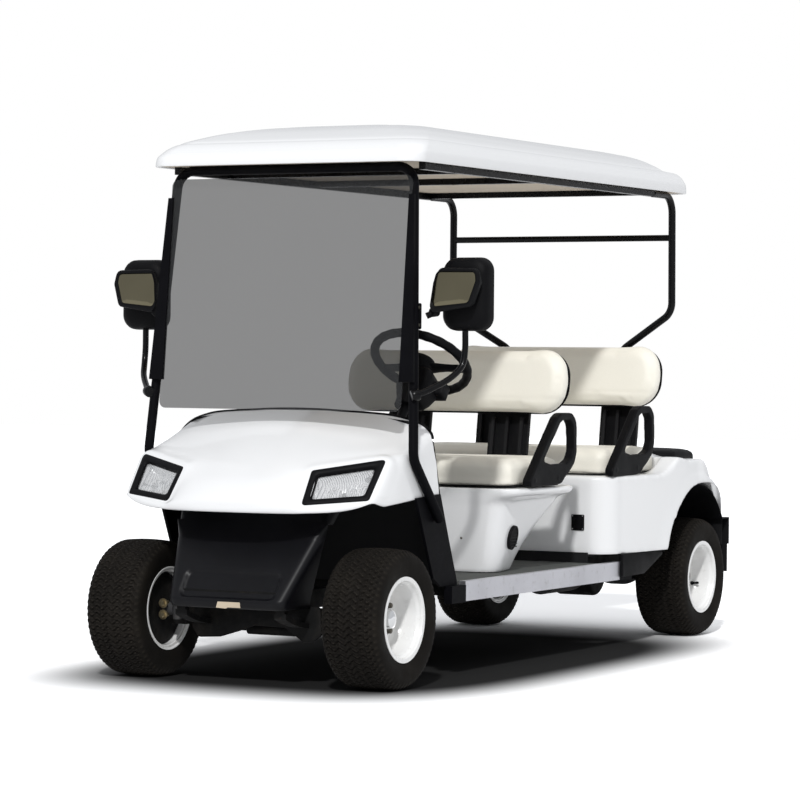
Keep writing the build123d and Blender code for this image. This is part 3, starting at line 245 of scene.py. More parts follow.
def leather_grain(name, colour, wear):
    """Marine vinyl: pebbled grain, slight creases and a soft sheen."""
    m = Shade(name, colour, 0.42)
    m.tint(m.ramp(m.noise(5, 5), 0.4, 0.8, 0, 0.55), wear)
    m.tint(m.ramp(m.cells(620), 0.5, 0.9, 0, 0.25), [0.82 * c for c in colour])
    m.rougher(m.ramp(m.noise(11, 4), 0.35, 0.75), 0.14)
    m.bump(m.cells(620), 0.00025)
    m.bump(m.noise(34, 4), 0.0007)
    return m.set(Sheen_Weight=0.12, Sheen_Roughness=0.4).done()


def smoked_sheet(name, colour, alpha):
    """Smoked acrylic sheet, see-through, with faint wiping marks in its gloss."""
    m = Shade(name, colour, 0.03)
    m.tint(m.ramp(m.noise(3, 3), 0.4, 0.8), [1.12 * c for c in colour])
    m.rougher(m.ramp(m.noise(9, 5, 0.6), 0.5, 0.8), 0.06)
    material = m.set(Alpha=alpha, Specular_IOR_Level=0.35).done()
    material.surface_render_method = "BLENDED"
    return material


def clear_cover(name):
    """Clear polycarbonate, barely hazed."""
    m = Shade(name, (0.9, 0.91, 0.92), 0.04)
    m.tint(m.ramp(m.noise(20, 3), 0.5, 0.8), (0.8, 0.82, 0.84))
    m.rougher(m.ramp(m.noise(40, 4), 0.5, 0.8), 0.05)
    material = m.set(Alpha=0.16).done()
    material.surface_render_method = "BLENDED"
    return material


def soft_beige(name):
    """Beige foam-backed lining."""
    m = Shade(name, (0.56, 0.47, 0.35), 0.82)
    m.tint(m.ramp(m.noise(4, 5), 0.4, 0.8), (0.46, 0.38, 0.28))
    m.bump(m.noise(300, 4), 0.0006)
    return m.set(Sheen_Weight=0.2).done()


def plain_moulding(name, colour, rough, fleck, gloss=0.2):
    """A moulded or cast part with a fleck of another colour."""
    m = Shade(name, colour, rough)
    m.tint(m.ramp(m.noise(12, 5, 0.6), 0.45, 0.8), fleck)
    m.rougher(m.noise(50, 3), 0.12)
    m.bump(m.noise(200, 4), 0.00006)
    return m.set(Specular_IOR_Level=gloss).done()


# each look: the function that makes it and what it is given
LOOKS = {
    "white_gelcoat": (gloss_white, (0.84, 0.845, 0.85)),
    "black_plastic": (moulded_black,),
    "black_paint": (painted_black,),
    "chassis_steel": (chassis_black,),
    "aluminium": (bare_metal, (0.68, 0.68, 0.72), 0.3, (1, 0.05, 1), 0.25),
    "floor_rubber": (ribbed_floor,),
    "tyre_rubber": (tyre_black,),
    "wheel_white": (enamel_white,),
    "cream_vinyl": (leather_grain, (0.93, 0.9, 0.8), (0.89, 0.855, 0.75)),
    "tinted_glass": (smoked_sheet, (0.03, 0.031, 0.032), 0.53),
    "clear_glass": (clear_cover,),
    "chrome": (chromed,),
    "lamp_reflector": (fluted_mirror_painted_bands,),
    "mirror": (bare_metal, (0.2, 0.18, 0.12), 0.05),
    "satin_black": (plain_moulding, (0.003, 0.003, 0.0042), 0.34, (0.0045, 0.0045, 0.006)),
    "dull_black": (plain_moulding, (0.003, 0.003, 0.004), 0.5, (0.0045, 0.0045, 0.006), 0.05),
    "channel_rubber": (moulded_black, 0.62, 500.0),
    "beige_liner": (soft_beige,),
    "bare_steel": (bare_metal, (0.15, 0.14, 0.12), 0.4, (1, 1, 0.2), 0.7),
    "brass": (bare_metal, (0.52, 0.44, 0.28), 0.36, (1, 1, 0.2), 0.5),
    "battery_case": (plain_moulding, (0.03, 0.032, 0.04), 0.5, (0.06, 0.06, 0.065)),
    "cast_housing": (plain_moulding, (0.05, 0.05, 0.052), 0.55, (0.12, 0.1, 0.08)),
}
FINISH = {name: make(name, *values) for name, (make, *values) in LOOKS.items()}

# the CAD nodes that show take the looks of their slots, a few of them a duller one
for name, node in nodes.items():
    finish = FINISH[node.data.materials[0].name.split(".")[0]]
    node.data.materials.clear()
    node.data.materials.append(finish)

nodes["tie_rod"].data.materials[0] = FINISH["chassis_steel"]
for name in ("side_mouldings", "windscreen_channels", "front_frame"):
    nodes[name].data.materials[0] = FINISH["dull_black"]


# Making meshes


def in_scene(name, data):
    made = bpy.data.objects.new(name, data)
    bpy.context.scene.collection.objects.link(made)
    return made


def place(name, mesh, finish, body="chassis", angle=35.0, look=None):
    """Puts a mesh in the scene as a piece that rides on a body; look stands in for its finish."""
    mesh.materials.clear()
    mesh.materials.append(FINISH[look or finish])
    mesh.shade_smooth()
    mesh.set_sharp_from_angle(angle=math.radians(angle))
    made = in_scene(name, mesh)
    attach(made, body)
    return made


def modify(mesh, *steps):
    """Runs a mesh through modifiers, each given as (type, {setting: value})."""
    holder = in_scene("holder", mesh)
    for kind, settings in steps:
        modifier = holder.modifiers.new(kind, kind)
        for key, value in settings.items():
            setattr(modifier, key, value)
    graph = bpy.context.evaluated_depsgraph_get()
    result = bpy.data.meshes.new_from_object(holder.evaluated_get(graph))
    bpy.data.objects.remove(holder)
    return result


FINER = ("SUBSURF", {"levels": 1, "render_levels": 1})


def cut(mesh, other, operation="DIFFERENCE"):
    """Boolean of two closed meshes."""
    tool = in_scene("tool", other)
    result = modify(mesh, ("BOOLEAN", {"object": tool, "operation": operation, "solver": "EXACT"}))
    bpy.data.objects.remove(tool)
    return result


def edited(mesh, change):
    """Changes a mesh through bmesh."""
    work = bmesh.new()
    work.from_mesh(mesh)
    change(work)
    work.to_mesh(mesh)
    work.free()
    return mesh


def mesh_of(name, points, faces):
    mesh = bpy.data.meshes.new(name)
    mesh.from_pydata([tuple(p) for p in points], [], faces)
    return mesh


def joined(meshes):
    """One mesh of several."""
    points, faces = [], []
    for mesh in meshes:
        start = len(points)
        points += [v.co.copy() for v in mesh.vertices]
        faces += [[start + i for i in p.vertices] for p in mesh.polygons]
    return mesh_of("joined", points, faces)


def moved(mesh, matrix):
    result = mesh.copy()
    result.transform(matrix)
    if matrix.determinant() < 0:
        result.flip_normals()
    return result


def both_sides(mesh):
    """The mesh and its mirror image across the cart's middle."""
    return joined([mesh, moved(mesh, Matrix.Diagonal((-1, 1, 1, 1)))])


def skin(rings, closed_rings=True, caps=True, loop=False):
    """Mesh over a row of rings that have the same number of points, its faces turned outwards."""
    count, rows = len(rings[0]), len(rings)
    faces = []
    for i in range(rows if loop else rows - 1):
        a, b = i * count, ((i + 1) % rows) * count
        for j in range(count if closed_rings else count - 1):
            k = (j + 1) % count
            faces.append((a + j, a + k, b + k, b + j))
    if caps and closed_rings and not loop:
        faces.append(tuple(range(count)))
        faces.append(tuple((rows - 1) * count + j for j in range(count)))
    mesh = mesh_of("mesh", [p for ring in rings for p in ring], faces)
    return edited(mesh, lambda work: bmesh.ops.recalc_face_normals(work, faces=work.faces))


def arc(a, b, c, steps=10):
    """Points of the circle's arc from a through b to c in a plane, without the first one."""
    (ax, ay), (bx, by), (cx, cy) = a, b, c
    d = 2 * (ax * (by - cy) + bx * (cy - ay) + cx * (ay - by))
    sa, sb, sc = ax * ax + ay * ay, bx * bx + by * by, cx * cx + cy * cy
    ox = (sa * (by - cy) + sb * (cy - ay) + sc * (ay - by)) / d
    oy = (sa * (cx - bx) + sb * (ax - cx) + sc * (bx - ax)) / d
    radius = math.hypot(ax - ox, ay - oy)
    first = math.atan2(ay - oy, ax - ox)
    turn = 2 * math.pi
    through = (math.atan2(by - oy, bx - ox) - first) % turn
    last = (math.atan2(cy - oy, cx - ox) - first) % turn
    if through > last:
        last -= turn
    angles = [first + last * i / steps for i in range(1, steps + 1)]
    return [(ox + radius * math.cos(t), oy + radius * math.sin(t)) for t in angles]


def picked(values, i):
    """The value at a place in a list, or the one value that holds everywhere."""
    return values[i] if isinstance(values, (list, tuple)) else values


def clamp(share):
    return min(1.0, max(0.0, share))


def eased(share):
    """A share from none to one that starts and ends softly."""
    return share * share * (3 - 2 * share)


def circle(count):
    """Cosine and sine of evenly spaced angles."""
    turns = [2 * math.pi * k / count for k in range(count)]
    return [(math.cos(t), math.sin(t)) for t in turns]


def rounded(corners, radius, steps=5):
    """Outline of a polygon with its corners rounded."""
    result = []
    count = len(corners)
    for i in range(count):
        here = Vector(corners[i])
        before = Vector(corners[i - 1]) - here
        after = Vector(corners[(i + 1) % count]) - here
        reach = picked(radius, i) / math.tan(before.angle(after) / 2)
        reach = min(reach, 0.48 * before.length, 0.48 * after.length)
        start = here + before.normalized() * reach
        end = here + after.normalized() * reach
        for k in range(steps + 1):
            t = k / steps
            point = start * (1 - t) ** 2 + here * 2 * t * (1 - t) + end * t * t
            result.append((point.x, point.y))
    return result


AXES = {
    "x": lambda p, s: (s, p[0], p[1]),
    "y": lambda p, s: (p[0], s, p[1]),
    "z": lambda p, s: (p[0], p[1], s),
}


def prism(outline, across, start, end):
    """Closed prism over an outline drawn square to an axis."""
    put = AXES[across]
    return skin([[put(p, start) for p in outline], [put(p, end) for p in outline]])


def plate(outline, across, start, end, soft=0.002, segments=2):
    """A prism with softened edges."""
    bevel = {"width": soft, "segments": segments, "limit_method": "ANGLE"}
    return modify(prism(outline, across, start, end), ("BEVEL", bevel))


def spline(points, steps=8):
    """Smooth line through points (Catmull-Rom)."""
    points = [Vector(p) for p in points]
    ends = [2 * points[0] - points[1]] + points + [2 * points[-1] - points[-2]]
    result = []
    for i in range(1, len(ends) - 2):
        a, b, c, d = ends[i - 1 : i + 3]
        for k in range(steps):
            t = k / steps
            square = (2 * a - 5 * b + 4 * c - d) * t * t
            result.append(0.5 * (2 * b + (c - a) * t + square + (3 * b - a - 3 * c + d) * t**3))
    result.append(points[-1])
    return result


def tube(points, radius, sides=16, loop=False):
    """Round tube along a line; radius may change from point to point."""
    points = [Vector(p) for p in points]
    count = len(points)
    rings = []
    side = None
    for i, here in enumerate(points):
        ahead = points[(i + 1) % count] if loop or i + 1 < count else here
        behind = points[i - 1] if loop or i else here
        along = (ahead - behind).normalized()
        if side is None:
            side = along.orthogonal().normalized()
        side = (side - along * side.dot(along)).normalized()
        other = along.cross(side)
        r = picked(radius, i)
        rings.append([here + side * r * c + other * r * s for c, s in circle(sides)])
    return skin(rings, loop=loop)


def turned(profile, origin=(0, 0, 0), axis=(1, 0, 0), sides=48, closed=False):
    """Body of revolution; profile points are (distance along the axis, radius)."""
    axis = Vector(axis).normalized()
    side = axis.orthogonal().normalized()
    other = axis.cross(side)
    origin = Vector(origin)
    rings = []
    for c, s in circle(sides):
        out = side * c + other * s
        rings.append([origin + axis * a + out * r for a, r in profile])
    return skin(rings, closed_rings=closed, caps=False, loop=True)


def bolt(origin, axis, radius, height):
    """Hexagon head on a washer, with a domed top."""
    washer = [(0, 0.0002), (0, radius * 1.5), (height * 0.2, radius * 1.5), (height * 0.22, 0.0002)]
    head = [(0, 0.0002), (height * 0.2, radius), (height * 0.8, radius),
            (height, radius * 0.8), (height * 1.02, 0.0002)]
    return joined([turned(washer, origin, axis, 20), turned(head, origin, axis, 6)])


def soften(mesh, voxel, rounds):
    """Rounds every edge of a filled shape."""
    return modify(mesh, ("REMESH", {"mode": "VOXEL", "voxel_size": voxel}),
                  ("SMOOTH", {"factor": 0.5, "iterations": rounds}))


def keep_faces(mesh, wanted):
    """Drops the faces that are not wanted; wanted takes a centre and a normal."""

    def drop(work):
        faces = [f for f in work.faces if not wanted(f.calc_center_median(), f.normal)]
        bmesh.ops.delete(work, geom=faces, context="FACES")

    return edited(mesh, drop)


def thickened(mesh, wall):
    """Sheet given its thickness on the inside."""
    return modify(mesh, ("SOLIDIFY", {"thickness": wall, "offset": -1.0}))


def lighter(mesh, share):
    """The mesh with this share of its faces."""
    return modify(mesh, ("DECIMATE", {"ratio": share}))


# Places: y measured back from an axle, heights from the floor's top or from the ground, in mm


def front(distance):
    return FRONT_AXLE + distance / 1000


def rear(distance):
    return REAR_AXLE + distance / 1000


def up(height):
    return FLOOR_Z + height / 1000


def above_ground(height):
    return up(height - FLOOR_TOP)


def ry(outline):
    """Side outline of (back from the rear axle, up from the floor) in the cart's places."""
    return [(rear(y), up(z)) for y, z in outline]


# Bonnet, lamps and front mouldings

# The bonnet's right half from its lip up to its rear edge, each row from the middle out to
# the side: (out, back from the front axle, height over the ground) in millimetres.
BONNET = [
    [(0, -214, 577), (90, -212, 577), (175, -200, 577), (256, -174, 578), (346, -134, 582),
     (415, -95, 590), (462, -47, 599), (482, 15, 606), (485, 100, 612), (485, 180, 617),
     (485, 255, 620), (485, 322, 624)],
    [(0, -227, 574), (90, -225, 574), (175, -212, 574), (258, -186, 574.5), (350, -145, 578),
     (420, -104, 586), (468, -54, 595), (486, 15, 603), (489, 100, 610), (489, 180, 616),
     (489, 255, 620), (489, 323, 624)],
    [(0, -230, 592), (90, -228, 592), (175, -216, 592), (258, -189, 592), (350, -148, 597),
     (422, -107, 606), (470, -56, 615), (488, 15, 623), (490, 100, 631), (490, 180, 637),
     (490, 255, 642), (490, 319, 646)],
    [(0, -222, 616), (90, -219, 616), (175, -204, 614), (258, -169, 607), (350, -130, 612),
     (424, -99, 620), (473, -48, 631), (488, 22, 643), (490, 100, 655), (490, 180, 663),
     (490, 250, 669), (490, 312, 674)],
    [(0, -178, 661), (90, -175, 661), (175, -160, 658), (254, -129, 652), (350, -85, 664),
     (424, -52, 675), (470, -16, 684), (486, 40, 694), (490, 110, 703), (490, 180, 710),
     (490, 245, 715), (490, 304, 719)],
    [(0, -118, 704), (90, -115, 704), (170, -104, 704), (249, -88, 705), (345, -42, 720),
     (415, -6, 734), (460, 24, 742), (482, 72, 746), (488, 130, 748), (489, 185, 749),
     (489, 240, 750), (489, 294, 750)],
    [(0, -40, 757), (90, -38, 756), (170, -30, 755), (250, -14, 757), (345, 14, 762),
     (410, 42, 767), (448, 70, 766), (472, 106, 766), (483, 150, 767), (487, 194, 768),
     (488, 240, 768), (488, 288, 768)],
    [(0, 50, 811), (90, 52, 810), (170, 60, 807), (250, 74, 805), (340, 100, 803),
     (402, 124, 800), (440, 148, 796), (465, 176, 792), (478, 205, 789), (484, 232, 787),
     (486, 258, 785), (487, 285, 783)],
    [(0, 140, 857), (90, 142, 855), (170, 150, 851), (250, 162, 847), (338, 184, 843),
     (398, 205, 836), (436, 222, 828), (460, 240, 819), (474, 252, 811), (482, 262, 804),
     (485, 271, 799), (486, 282, 795)],
    [(0, 230, 896.5), (90, 232, 895), (170, 238, 891), (250, 249, 887), (335, 264, 880),
     (393, 277, 868), (430, 284, 856), (454, 287, 843), (468, 286, 831), (478, 284, 820),
     (483, 281, 812), (485, 279, 806)],
]


LAMP = {  # left lamp's face: out, back and up
    "inner_bottom": (256, -171, 273),
    "outer_bottom": (450, -94, 290),
    "outer_top": (456, 8, 409),
    "inner_top": (248, -93, 375),
}


def lamp_corners():
    return [Vector((x / 1000, front(y), up(z))) for x, y, z in LAMP.values()]


def lamp_frame():
    """Origin, rightward, upward and outward directions of the left lamp's face."""
    corners = lamp_corners()
    across = (corners[1] - corners[0]).normalized()
    normal = across.cross(corners[3] - corners[0]).normalized()
    return corners[0], across, normal.cross(across), normal


def lamp_outline(inset, radius):
    """The lamp's outline in its own plane, drawn in by inset."""
    origin, across, rise, _ = lamp_frame()
    flat = [((c - origin).dot(across), (c - origin).dot(rise)) for c in lamp_corners()]
    result = []
    count = len(flat)
    for i in range(count):
        here = Vector(flat[i])
        before = (here - Vector(flat[i - 1])).normalized()
        after = (Vector(flat[(i + 1) % count]) - here).normalized()
        inward = [Vector((-d.y, d.x)) for d in (before, after)]
        bend = inward[0] + inward[1]
        result.append(here + bend * inset / (1 + inward[0].dot(inward[1])))
    return rounded([(p.x, p.y) for p in result], radius, 7)


def on_lamp(point, depth):
    origin, across, rise, normal = lamp_frame()
    return origin + across * point[0] + rise * point[1] + normal * depth


def distance_to(outline, point):
    """How far a point in a plane is from an outline's edges."""
    best = 9.0
    for a, b in zip(outline, outline[1:]):
        a, b = Vector(a), Vector(b)
        share = max(0.0, min(1.0, (point - a).dot(b - a) / (b - a).length_squared))
        best = min(best, (a + (b - a) * share - point).length)
    return best


def sides_of(outline):
    """Pairs of neighbouring corners, all the way round."""
    return zip(outline, outline[1:] + outline[:1])


def inside(outline, point):
    """Whether a point in a plane lies inside an outline."""
    hits = False
    for (ax, ay), (bx, by) in sides_of(outline):
        if (ay > point[1]) != (by > point[1]):
            if point[0] < ax + (bx - ax) * (point[1] - ay) / (by - ay):
                hits = not hits
    return hits


def sheet_over(rows, steps):
    """Smooth sheet through rows of points, and its rows after smoothing."""
    fine = [spline(row, steps) for row in rows]
    columns = [spline(column, steps) for column in zip(*fine)]
    count = len(columns[0])
    points = [p for column in columns for p in column]
    faces = []
    for i in range(len(columns) - 1):
        for j in range(count - 1):
            a = i * count + j
            faces.append((a, a + count, a + count + 1, a + 1))
    return mesh_of("sheet", points, faces), columns


def add_cowl():
    """White bonnet, pressed flat round the lamps and open behind them, and its seal."""
    proud, flat_edge, fade_width = 0.0002, 0.003, 0.032
    rows = []
    for row in BONNET:
        right = [(x / 1000, front(y), above_ground(z)) for x, y, z in row]
        rows.append([(-x, y, z) for x, y, z in reversed(right[1:])] + right)
    body, columns = sheet_over(rows, 7)
    origin, across, rise, normal = lamp_frame()
    rim = lamp_outline(-0.007, 0.014)
    hole = lamp_outline(0.01, 0.02)

    def lamp_place(point):
        local = Vector((abs(point.x), point.y, point.z)) - origin
        return Vector((local.dot(across), local.dot(rise))), local.dot(normal)

    for vertex in body.vertices:
        flat, height = lamp_place(vertex.co)
        if abs(height) > 0.06:
            continue
        reach = 0.0 if inside(rim, flat) else distance_to(rim + rim[:1], flat)
        if reach < flat_edge + fade_width:
            fade = eased(max(0.0, (reach - flat_edge) / fade_width))
            shift = normal * (proud - height) * (1 - fade)
            side = -1 if vertex.co.x < 0 else 1
            vertex.co += Vector((side * shift.x, shift.y, shift.z))
    if body.polygons[len(body.polygons) // 2].normal.z < 0:
        body.flip_normals()

    def wanted(centre, _):
        flat, height = lamp_place(centre)
        return abs(height) > 0.05 or not inside(hole, flat)

    body = thickened(keep_faces(body, wanted), 0.0032)
    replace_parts(place("bonnet", body, "white_gelcoat", angle=50), "front_cowl")
    # black seal along whichever end of the columns lies further back
    last = max((0, -1), key=lambda end: sum(column[end].y for column in columns))
    line = [column[last] for column in columns]
    line = [p + Vector((math.copysign(0.003, p.x), 0.004, 0.003)) for p in line]
    place("bonnet_seal", tube(line, 0.0058, 8), "channel_rubber")


def add_headlamps():
    """Black bezels, bright bowls and clear lenses in the lamps' planes."""
    rings = []
    for inset, depth in (
        (-0.005, -0.03), (-0.007, -0.003), (-0.006, 0.0035), (-0.002, 0.0062), (0.006, 0.0072),
        (0.0125, 0.0062), (0.0165, 0.0025), (0.0185, -0.004), (0.02, -0.016), (0.021, -0.03),
    ):
        rings.append([on_lamp(p, depth) for p in lamp_outline(inset, 0.014)])
    bezel = both_sides(skin(rings, loop=True))
    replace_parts(place("lamp_bezels", bezel, "black_plastic", angle=60), "headlamp_bezels")
    # reflector: a bright bowl with two round shields before its bulbs
    outline = lamp_outline(0.0205, 0.01)
    centre = sum((Vector(p) for p in outline), Vector((0, 0))) / len(outline)
    rings = []
    for share, depth in ((1.0, -0.01), (0.97, -0.03), (0.8, -0.046), (0.5, -0.056), (0.2, -0.06)):
        rings.append([on_lamp(centre + (Vector(p) - centre) * share, depth) for p in outline])
    bowl = skin(rings, caps=False)
    bulbs = []
    normal = lamp_frame()[3]
    for shift, size in ((0.04, 0.024), (-0.036, 0.02)):
        spot = on_lamp((centre.x + shift, centre.y + 0.004), -0.052)
        bulbs.append(turned(
            [(0, size * 1.5), (0.01, size * 1.35), (0.016, size * 0.9), (0.012, size * 0.6),
             (0.02, size * 0.45), (0.032, size * 0.4), (0.036, 0.0003)],
            spot, normal, 28,
        ))
    made = place("lamp_bowls", both_sides(joined([bowl, *bulbs])), "chrome", look="lamp_reflector")
    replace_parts(made, "headlamp_reflectors")
    # lens: clear cover with upright flutes moulded on its inner face
    lows = [min(p[i] for p in outline) for i in (0, 1)]
    highs = [max(p[i] for p in outline) for i in (0, 1)]
    flutes = []
    pitch = 0.0062
    count = int((highs[0] - lows[0]) / pitch)
    for i in range(1, count):
        x = lows[0] + i * pitch
        spans = []
        for a, b in sides_of(outline):
            if (a[0] - x) * (b[0] - x) <= 0 and a[0] != b[0]:
                spans.append(a[1] + (b[1] - a[1]) * (x - a[0]) / (b[0] - a[0]))
        if len(spans) < 2:
            continue
        low, high = min(spans) + 0.003, max(spans) - 0.003
        if high - low < 0.012:
            continue
        flutes.append(tube([on_lamp((x, low), -0.0082), on_lamp((x, high), -0.0082)], 0.0024, 6))
    cover = skin([[on_lamp(p, -0.008) for p in outline], [on_lamp(p, -0.0055) for p in outline],
                  [on_lamp(centre + (Vector(p) - centre) * 0.97, -0.004) for p in outline]])
    made = place("lamp_covers", both_sides(joined([cover, *flutes])), "clear_glass")
    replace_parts(made, "headlamp_lenses")


add_cowl()
add_headlamps()


# Roof


def round_rect(half_x, y0, y1, radius, count=40):
    """Rounded rectangle of 4 * count points in plan, centred on the cart's middle."""
    result = []
    radius = min(radius, half_x * 0.98, (y1 - y0) / 2 * 0.98)
    for cx, cy, first in (
        (half_x - radius, y1 - radius, 0),
        (-half_x + radius, y1 - radius, 90),
        (-half_x + radius, y0 + radius, 180),
        (half_x - radius, y0 + radius, 270),
    ):
        for k in range(count):
            t = math.radians(first + 90 * k / (count - 1))
            result.append((cx + radius * math.cos(t), cy + radius * math.sin(t)))
    return result


ROOF_Y0 = 96        # front and rear edges, back from the front axle (mm)
ROOF_Y1 = 2409
ROOF_HALF = 0.515
ROOF_EDGE = 1390    # level of the edge over the floor (mm)
# level of the dome over its edge, then how far side, front and back have stepped in (mm)
ROOF_LEVELS = [
    (44, 16, 18, 18), (30, 13, 13, 13), (6, 9, 9, 9), (2, 5, 5, 5), (0, 1.5, 1.5, 1.5), (3, 0, 0, 0),
    (16, 0, 2, 0), (30, 1, 7, 1), (38, 3, 14, 3), (46, 7, 24, 5), (58, 13, 40, 9), (68, 21, 56, 15),
    (75, 29, 70, 24), (78, 33, 78, 52), (79.5, 36, 84, 100), (82, 39, 90, 132), (88, 46, 102, 142),
    (97, 60, 130, 147), (106, 78, 160, 151), (116, 98, 194, 157), (126, 124, 234, 168),
    (136, 158, 284, 188), (145, 200, 340, 218), (152, 246, 400, 252), (158, 300, 470, 300),
    (161, 370, 560, 370), (162.5, 430, 650, 450),
]


def add_roof():
    """White shell, with two shallow swage lines on each side that run back over its crown."""
    rings = []
    for height, side, head, tail in spline(ROOF_LEVELS, 2):
        ring = round_rect(ROOF_HALF - side / 1000, front(ROOF_Y0 + head), front(ROOF_Y1 - tail),
                          0.075 + side / 4000)
        rings.append([(x, y, up(ROOF_EDGE + height)) for x, y in ring])
    shell = skin(rings)
    depth, half_width, foot, fade = 0.004, 0.016, up(ROOF_EDGE + 90), 0.07
    for vertex in shell.vertices:
        x, y, z = vertex.co
        share = (z - foot) / fade
        if share <= 0:
            continue
        length = (y - front(ROOF_Y0)) / (front(ROOF_Y1) - front(ROOF_Y0))
        dip = 0.0
        for line in (0.19, 0.33):
            dip += depth * math.exp(-(((abs(x) - line) / half_width) ** 2))
        vertex.co.z -= dip * min(1.0, share) * math.sin(math.pi * clamp(length))
    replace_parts(place("roof", shell, "white_gelcoat", angle=60), "roof_shell")


add_roof()


# Rear body and the front seat's base


def mirrored_outline(half):
    """Closed outline from its +x half, which runs from the middle of one end to the other."""
    return half + [(-x, y) for x, y in reversed(half)]


def rear_block():
    """The rear body as a filled block: its plan, cut to its side outline, less the seat's well."""
    half = 0.562
    plan = [(half - 0.132, rear(-868))]
    plan += arc(plan[-1], (half - 0.063, rear(-836)), (half - 0.04, rear(-764)), 8)
    plan += arc(plan[-1], (half - 0.008, rear(-460)), (half, rear(-120)), 16)
    plan += arc(plan[-1], (half - 0.014, rear(140)), (half - 0.062, rear(260)), 14)
    tail = arc(plan[-1], (0, rear(286)), (-plan[-1][0], plan[-1][1]), 24)[:11]
    body = prism(mirrored_outline(plan + tail), "z", up(23), up(420))
    side = ry([(287, 126), (188, 126), (188, 23), (-870, 23), (-870, 318), (-450, 318)])
    side += arc(side[-1], (rear(-370), up(342)), (rear(-300), up(381)), 8)
    side += arc(side[-1], (rear(-10), up(393)), (rear(240), up(349)), 14)
    side += arc(side[-1], (rear(272), up(329)), (rear(287), up(289)), 6)
    body = cut(body, prism(side, "x", -0.6, 0.6), "INTERSECT")
    recess = prism(
        [(-0.478, rear(-900)), (0.478, rear(-900)), (0.478, rear(-286)), (-0.478, rear(-286))],
        "z", up(318), up(480),
    )
    return cut(body, recess)


ARCH_MIDDLE = Vector((rear(-100), up(20)))


def arch_outline(scale=1.0):
    """Opening over a rear wheel, seen from the side."""
    line = ry([(300, -60), (-396, -60), (-394, 28)])
    line += arc(line[-1], (rear(-264), up(212)), (rear(-92), up(270)), 12)
    line += arc(line[-1], (rear(92), up(240)), (rear(222), up(126)), 12)
    line += ry([(300, 126)])
    return [tuple(ARCH_MIDDLE + (Vector(p) - ARCH_MIDDLE) * scale) for p in line]


def arch_level(edge, y):
    """Height of the arch's edge at a place along the body."""
    for (ay, az), (by, bz) in zip(edge, edge[1:]):
        if ay < by and ay <= y <= by:
            return az + (bz - az) * (y - ay) / (by - ay)
    return up(126)


def trimmed_below(mesh, level):
    """Cuts a mesh off at a level, leaving it open."""

    def trim(work):
        geometry = list(work.verts) + list(work.edges) + list(work.faces)
        bmesh.ops.bisect_plane(
            work, geom=geometry, plane_co=(0, 0, level), plane_no=(0, 0, -1), clear_outer=True
        )

    return edited(mesh, trim)


def add_rear_body():
    """White body over the rear wheels, with a rolled lip along each arch."""
    block = rear_block()
    for side in (1, -1):
        block = cut(block, prism(arch_outline(), "x", side * 0.318, side * 0.6))
    body = soften(block, 0.008, 16)
    edge = arch_outline()[2:-1]
    for vertex in body.vertices:
        x, y, z = vertex.co
        if abs(x) > 0.5 and y > rear(-520) and z < up(360):
            near = distance_to(edge, Vector((y, z)))
            vertex.co.x += math.copysign(0.007 * math.exp(-((near / 0.05) ** 2)), x)
    for vertex in body.vertices:
        x, y, z = vertex.co
        # the shoulders fall away beside the deck
        if z > up(300) and rear(-330) < y < rear(262):
            out = clamp((abs(x) - 0.3) / 0.13)
            along = min(1.0, (y - rear(-330)) / 0.16, (rear(262) - y) / 0.12)
            share = eased(out) * eased(along)
            vertex.co.z -= 0.03 * share * min(1.0, (z - up(300)) / 0.06)
        # and the tail falls off at its corners, down to the arches' edge
        past = y - rear(-80)
        if past > 0 and abs(x) > 0.38:
            foot, top = arch_level(edge, y), up(368)
            out = min(1.0, (abs(x) - 0.38) / 0.11)
            share = eased(out) * clamp((z - foot) / (top - foot))
            vertex.co.z -= share * min(0.95 * past * past / (past + 0.03), top - foot - 0.014)
            vertex.co.x -= math.copysign(0.03 * share * min(1.0, past / 0.3), x)
    body = trimmed_below(body, up(30))
    body = keep_faces(
        body,
        lambda c, n: not (abs(c.x) < 0.335 and c.z < up(280) and n.z < 0.3
                          and rear(-820) < c.y < rear(240)),
    )
    body = thickened(lighter(body, 0.6), 0.0035)
    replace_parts(place("rear_shell", body, "white_gelcoat", angle=55), "rear_body")


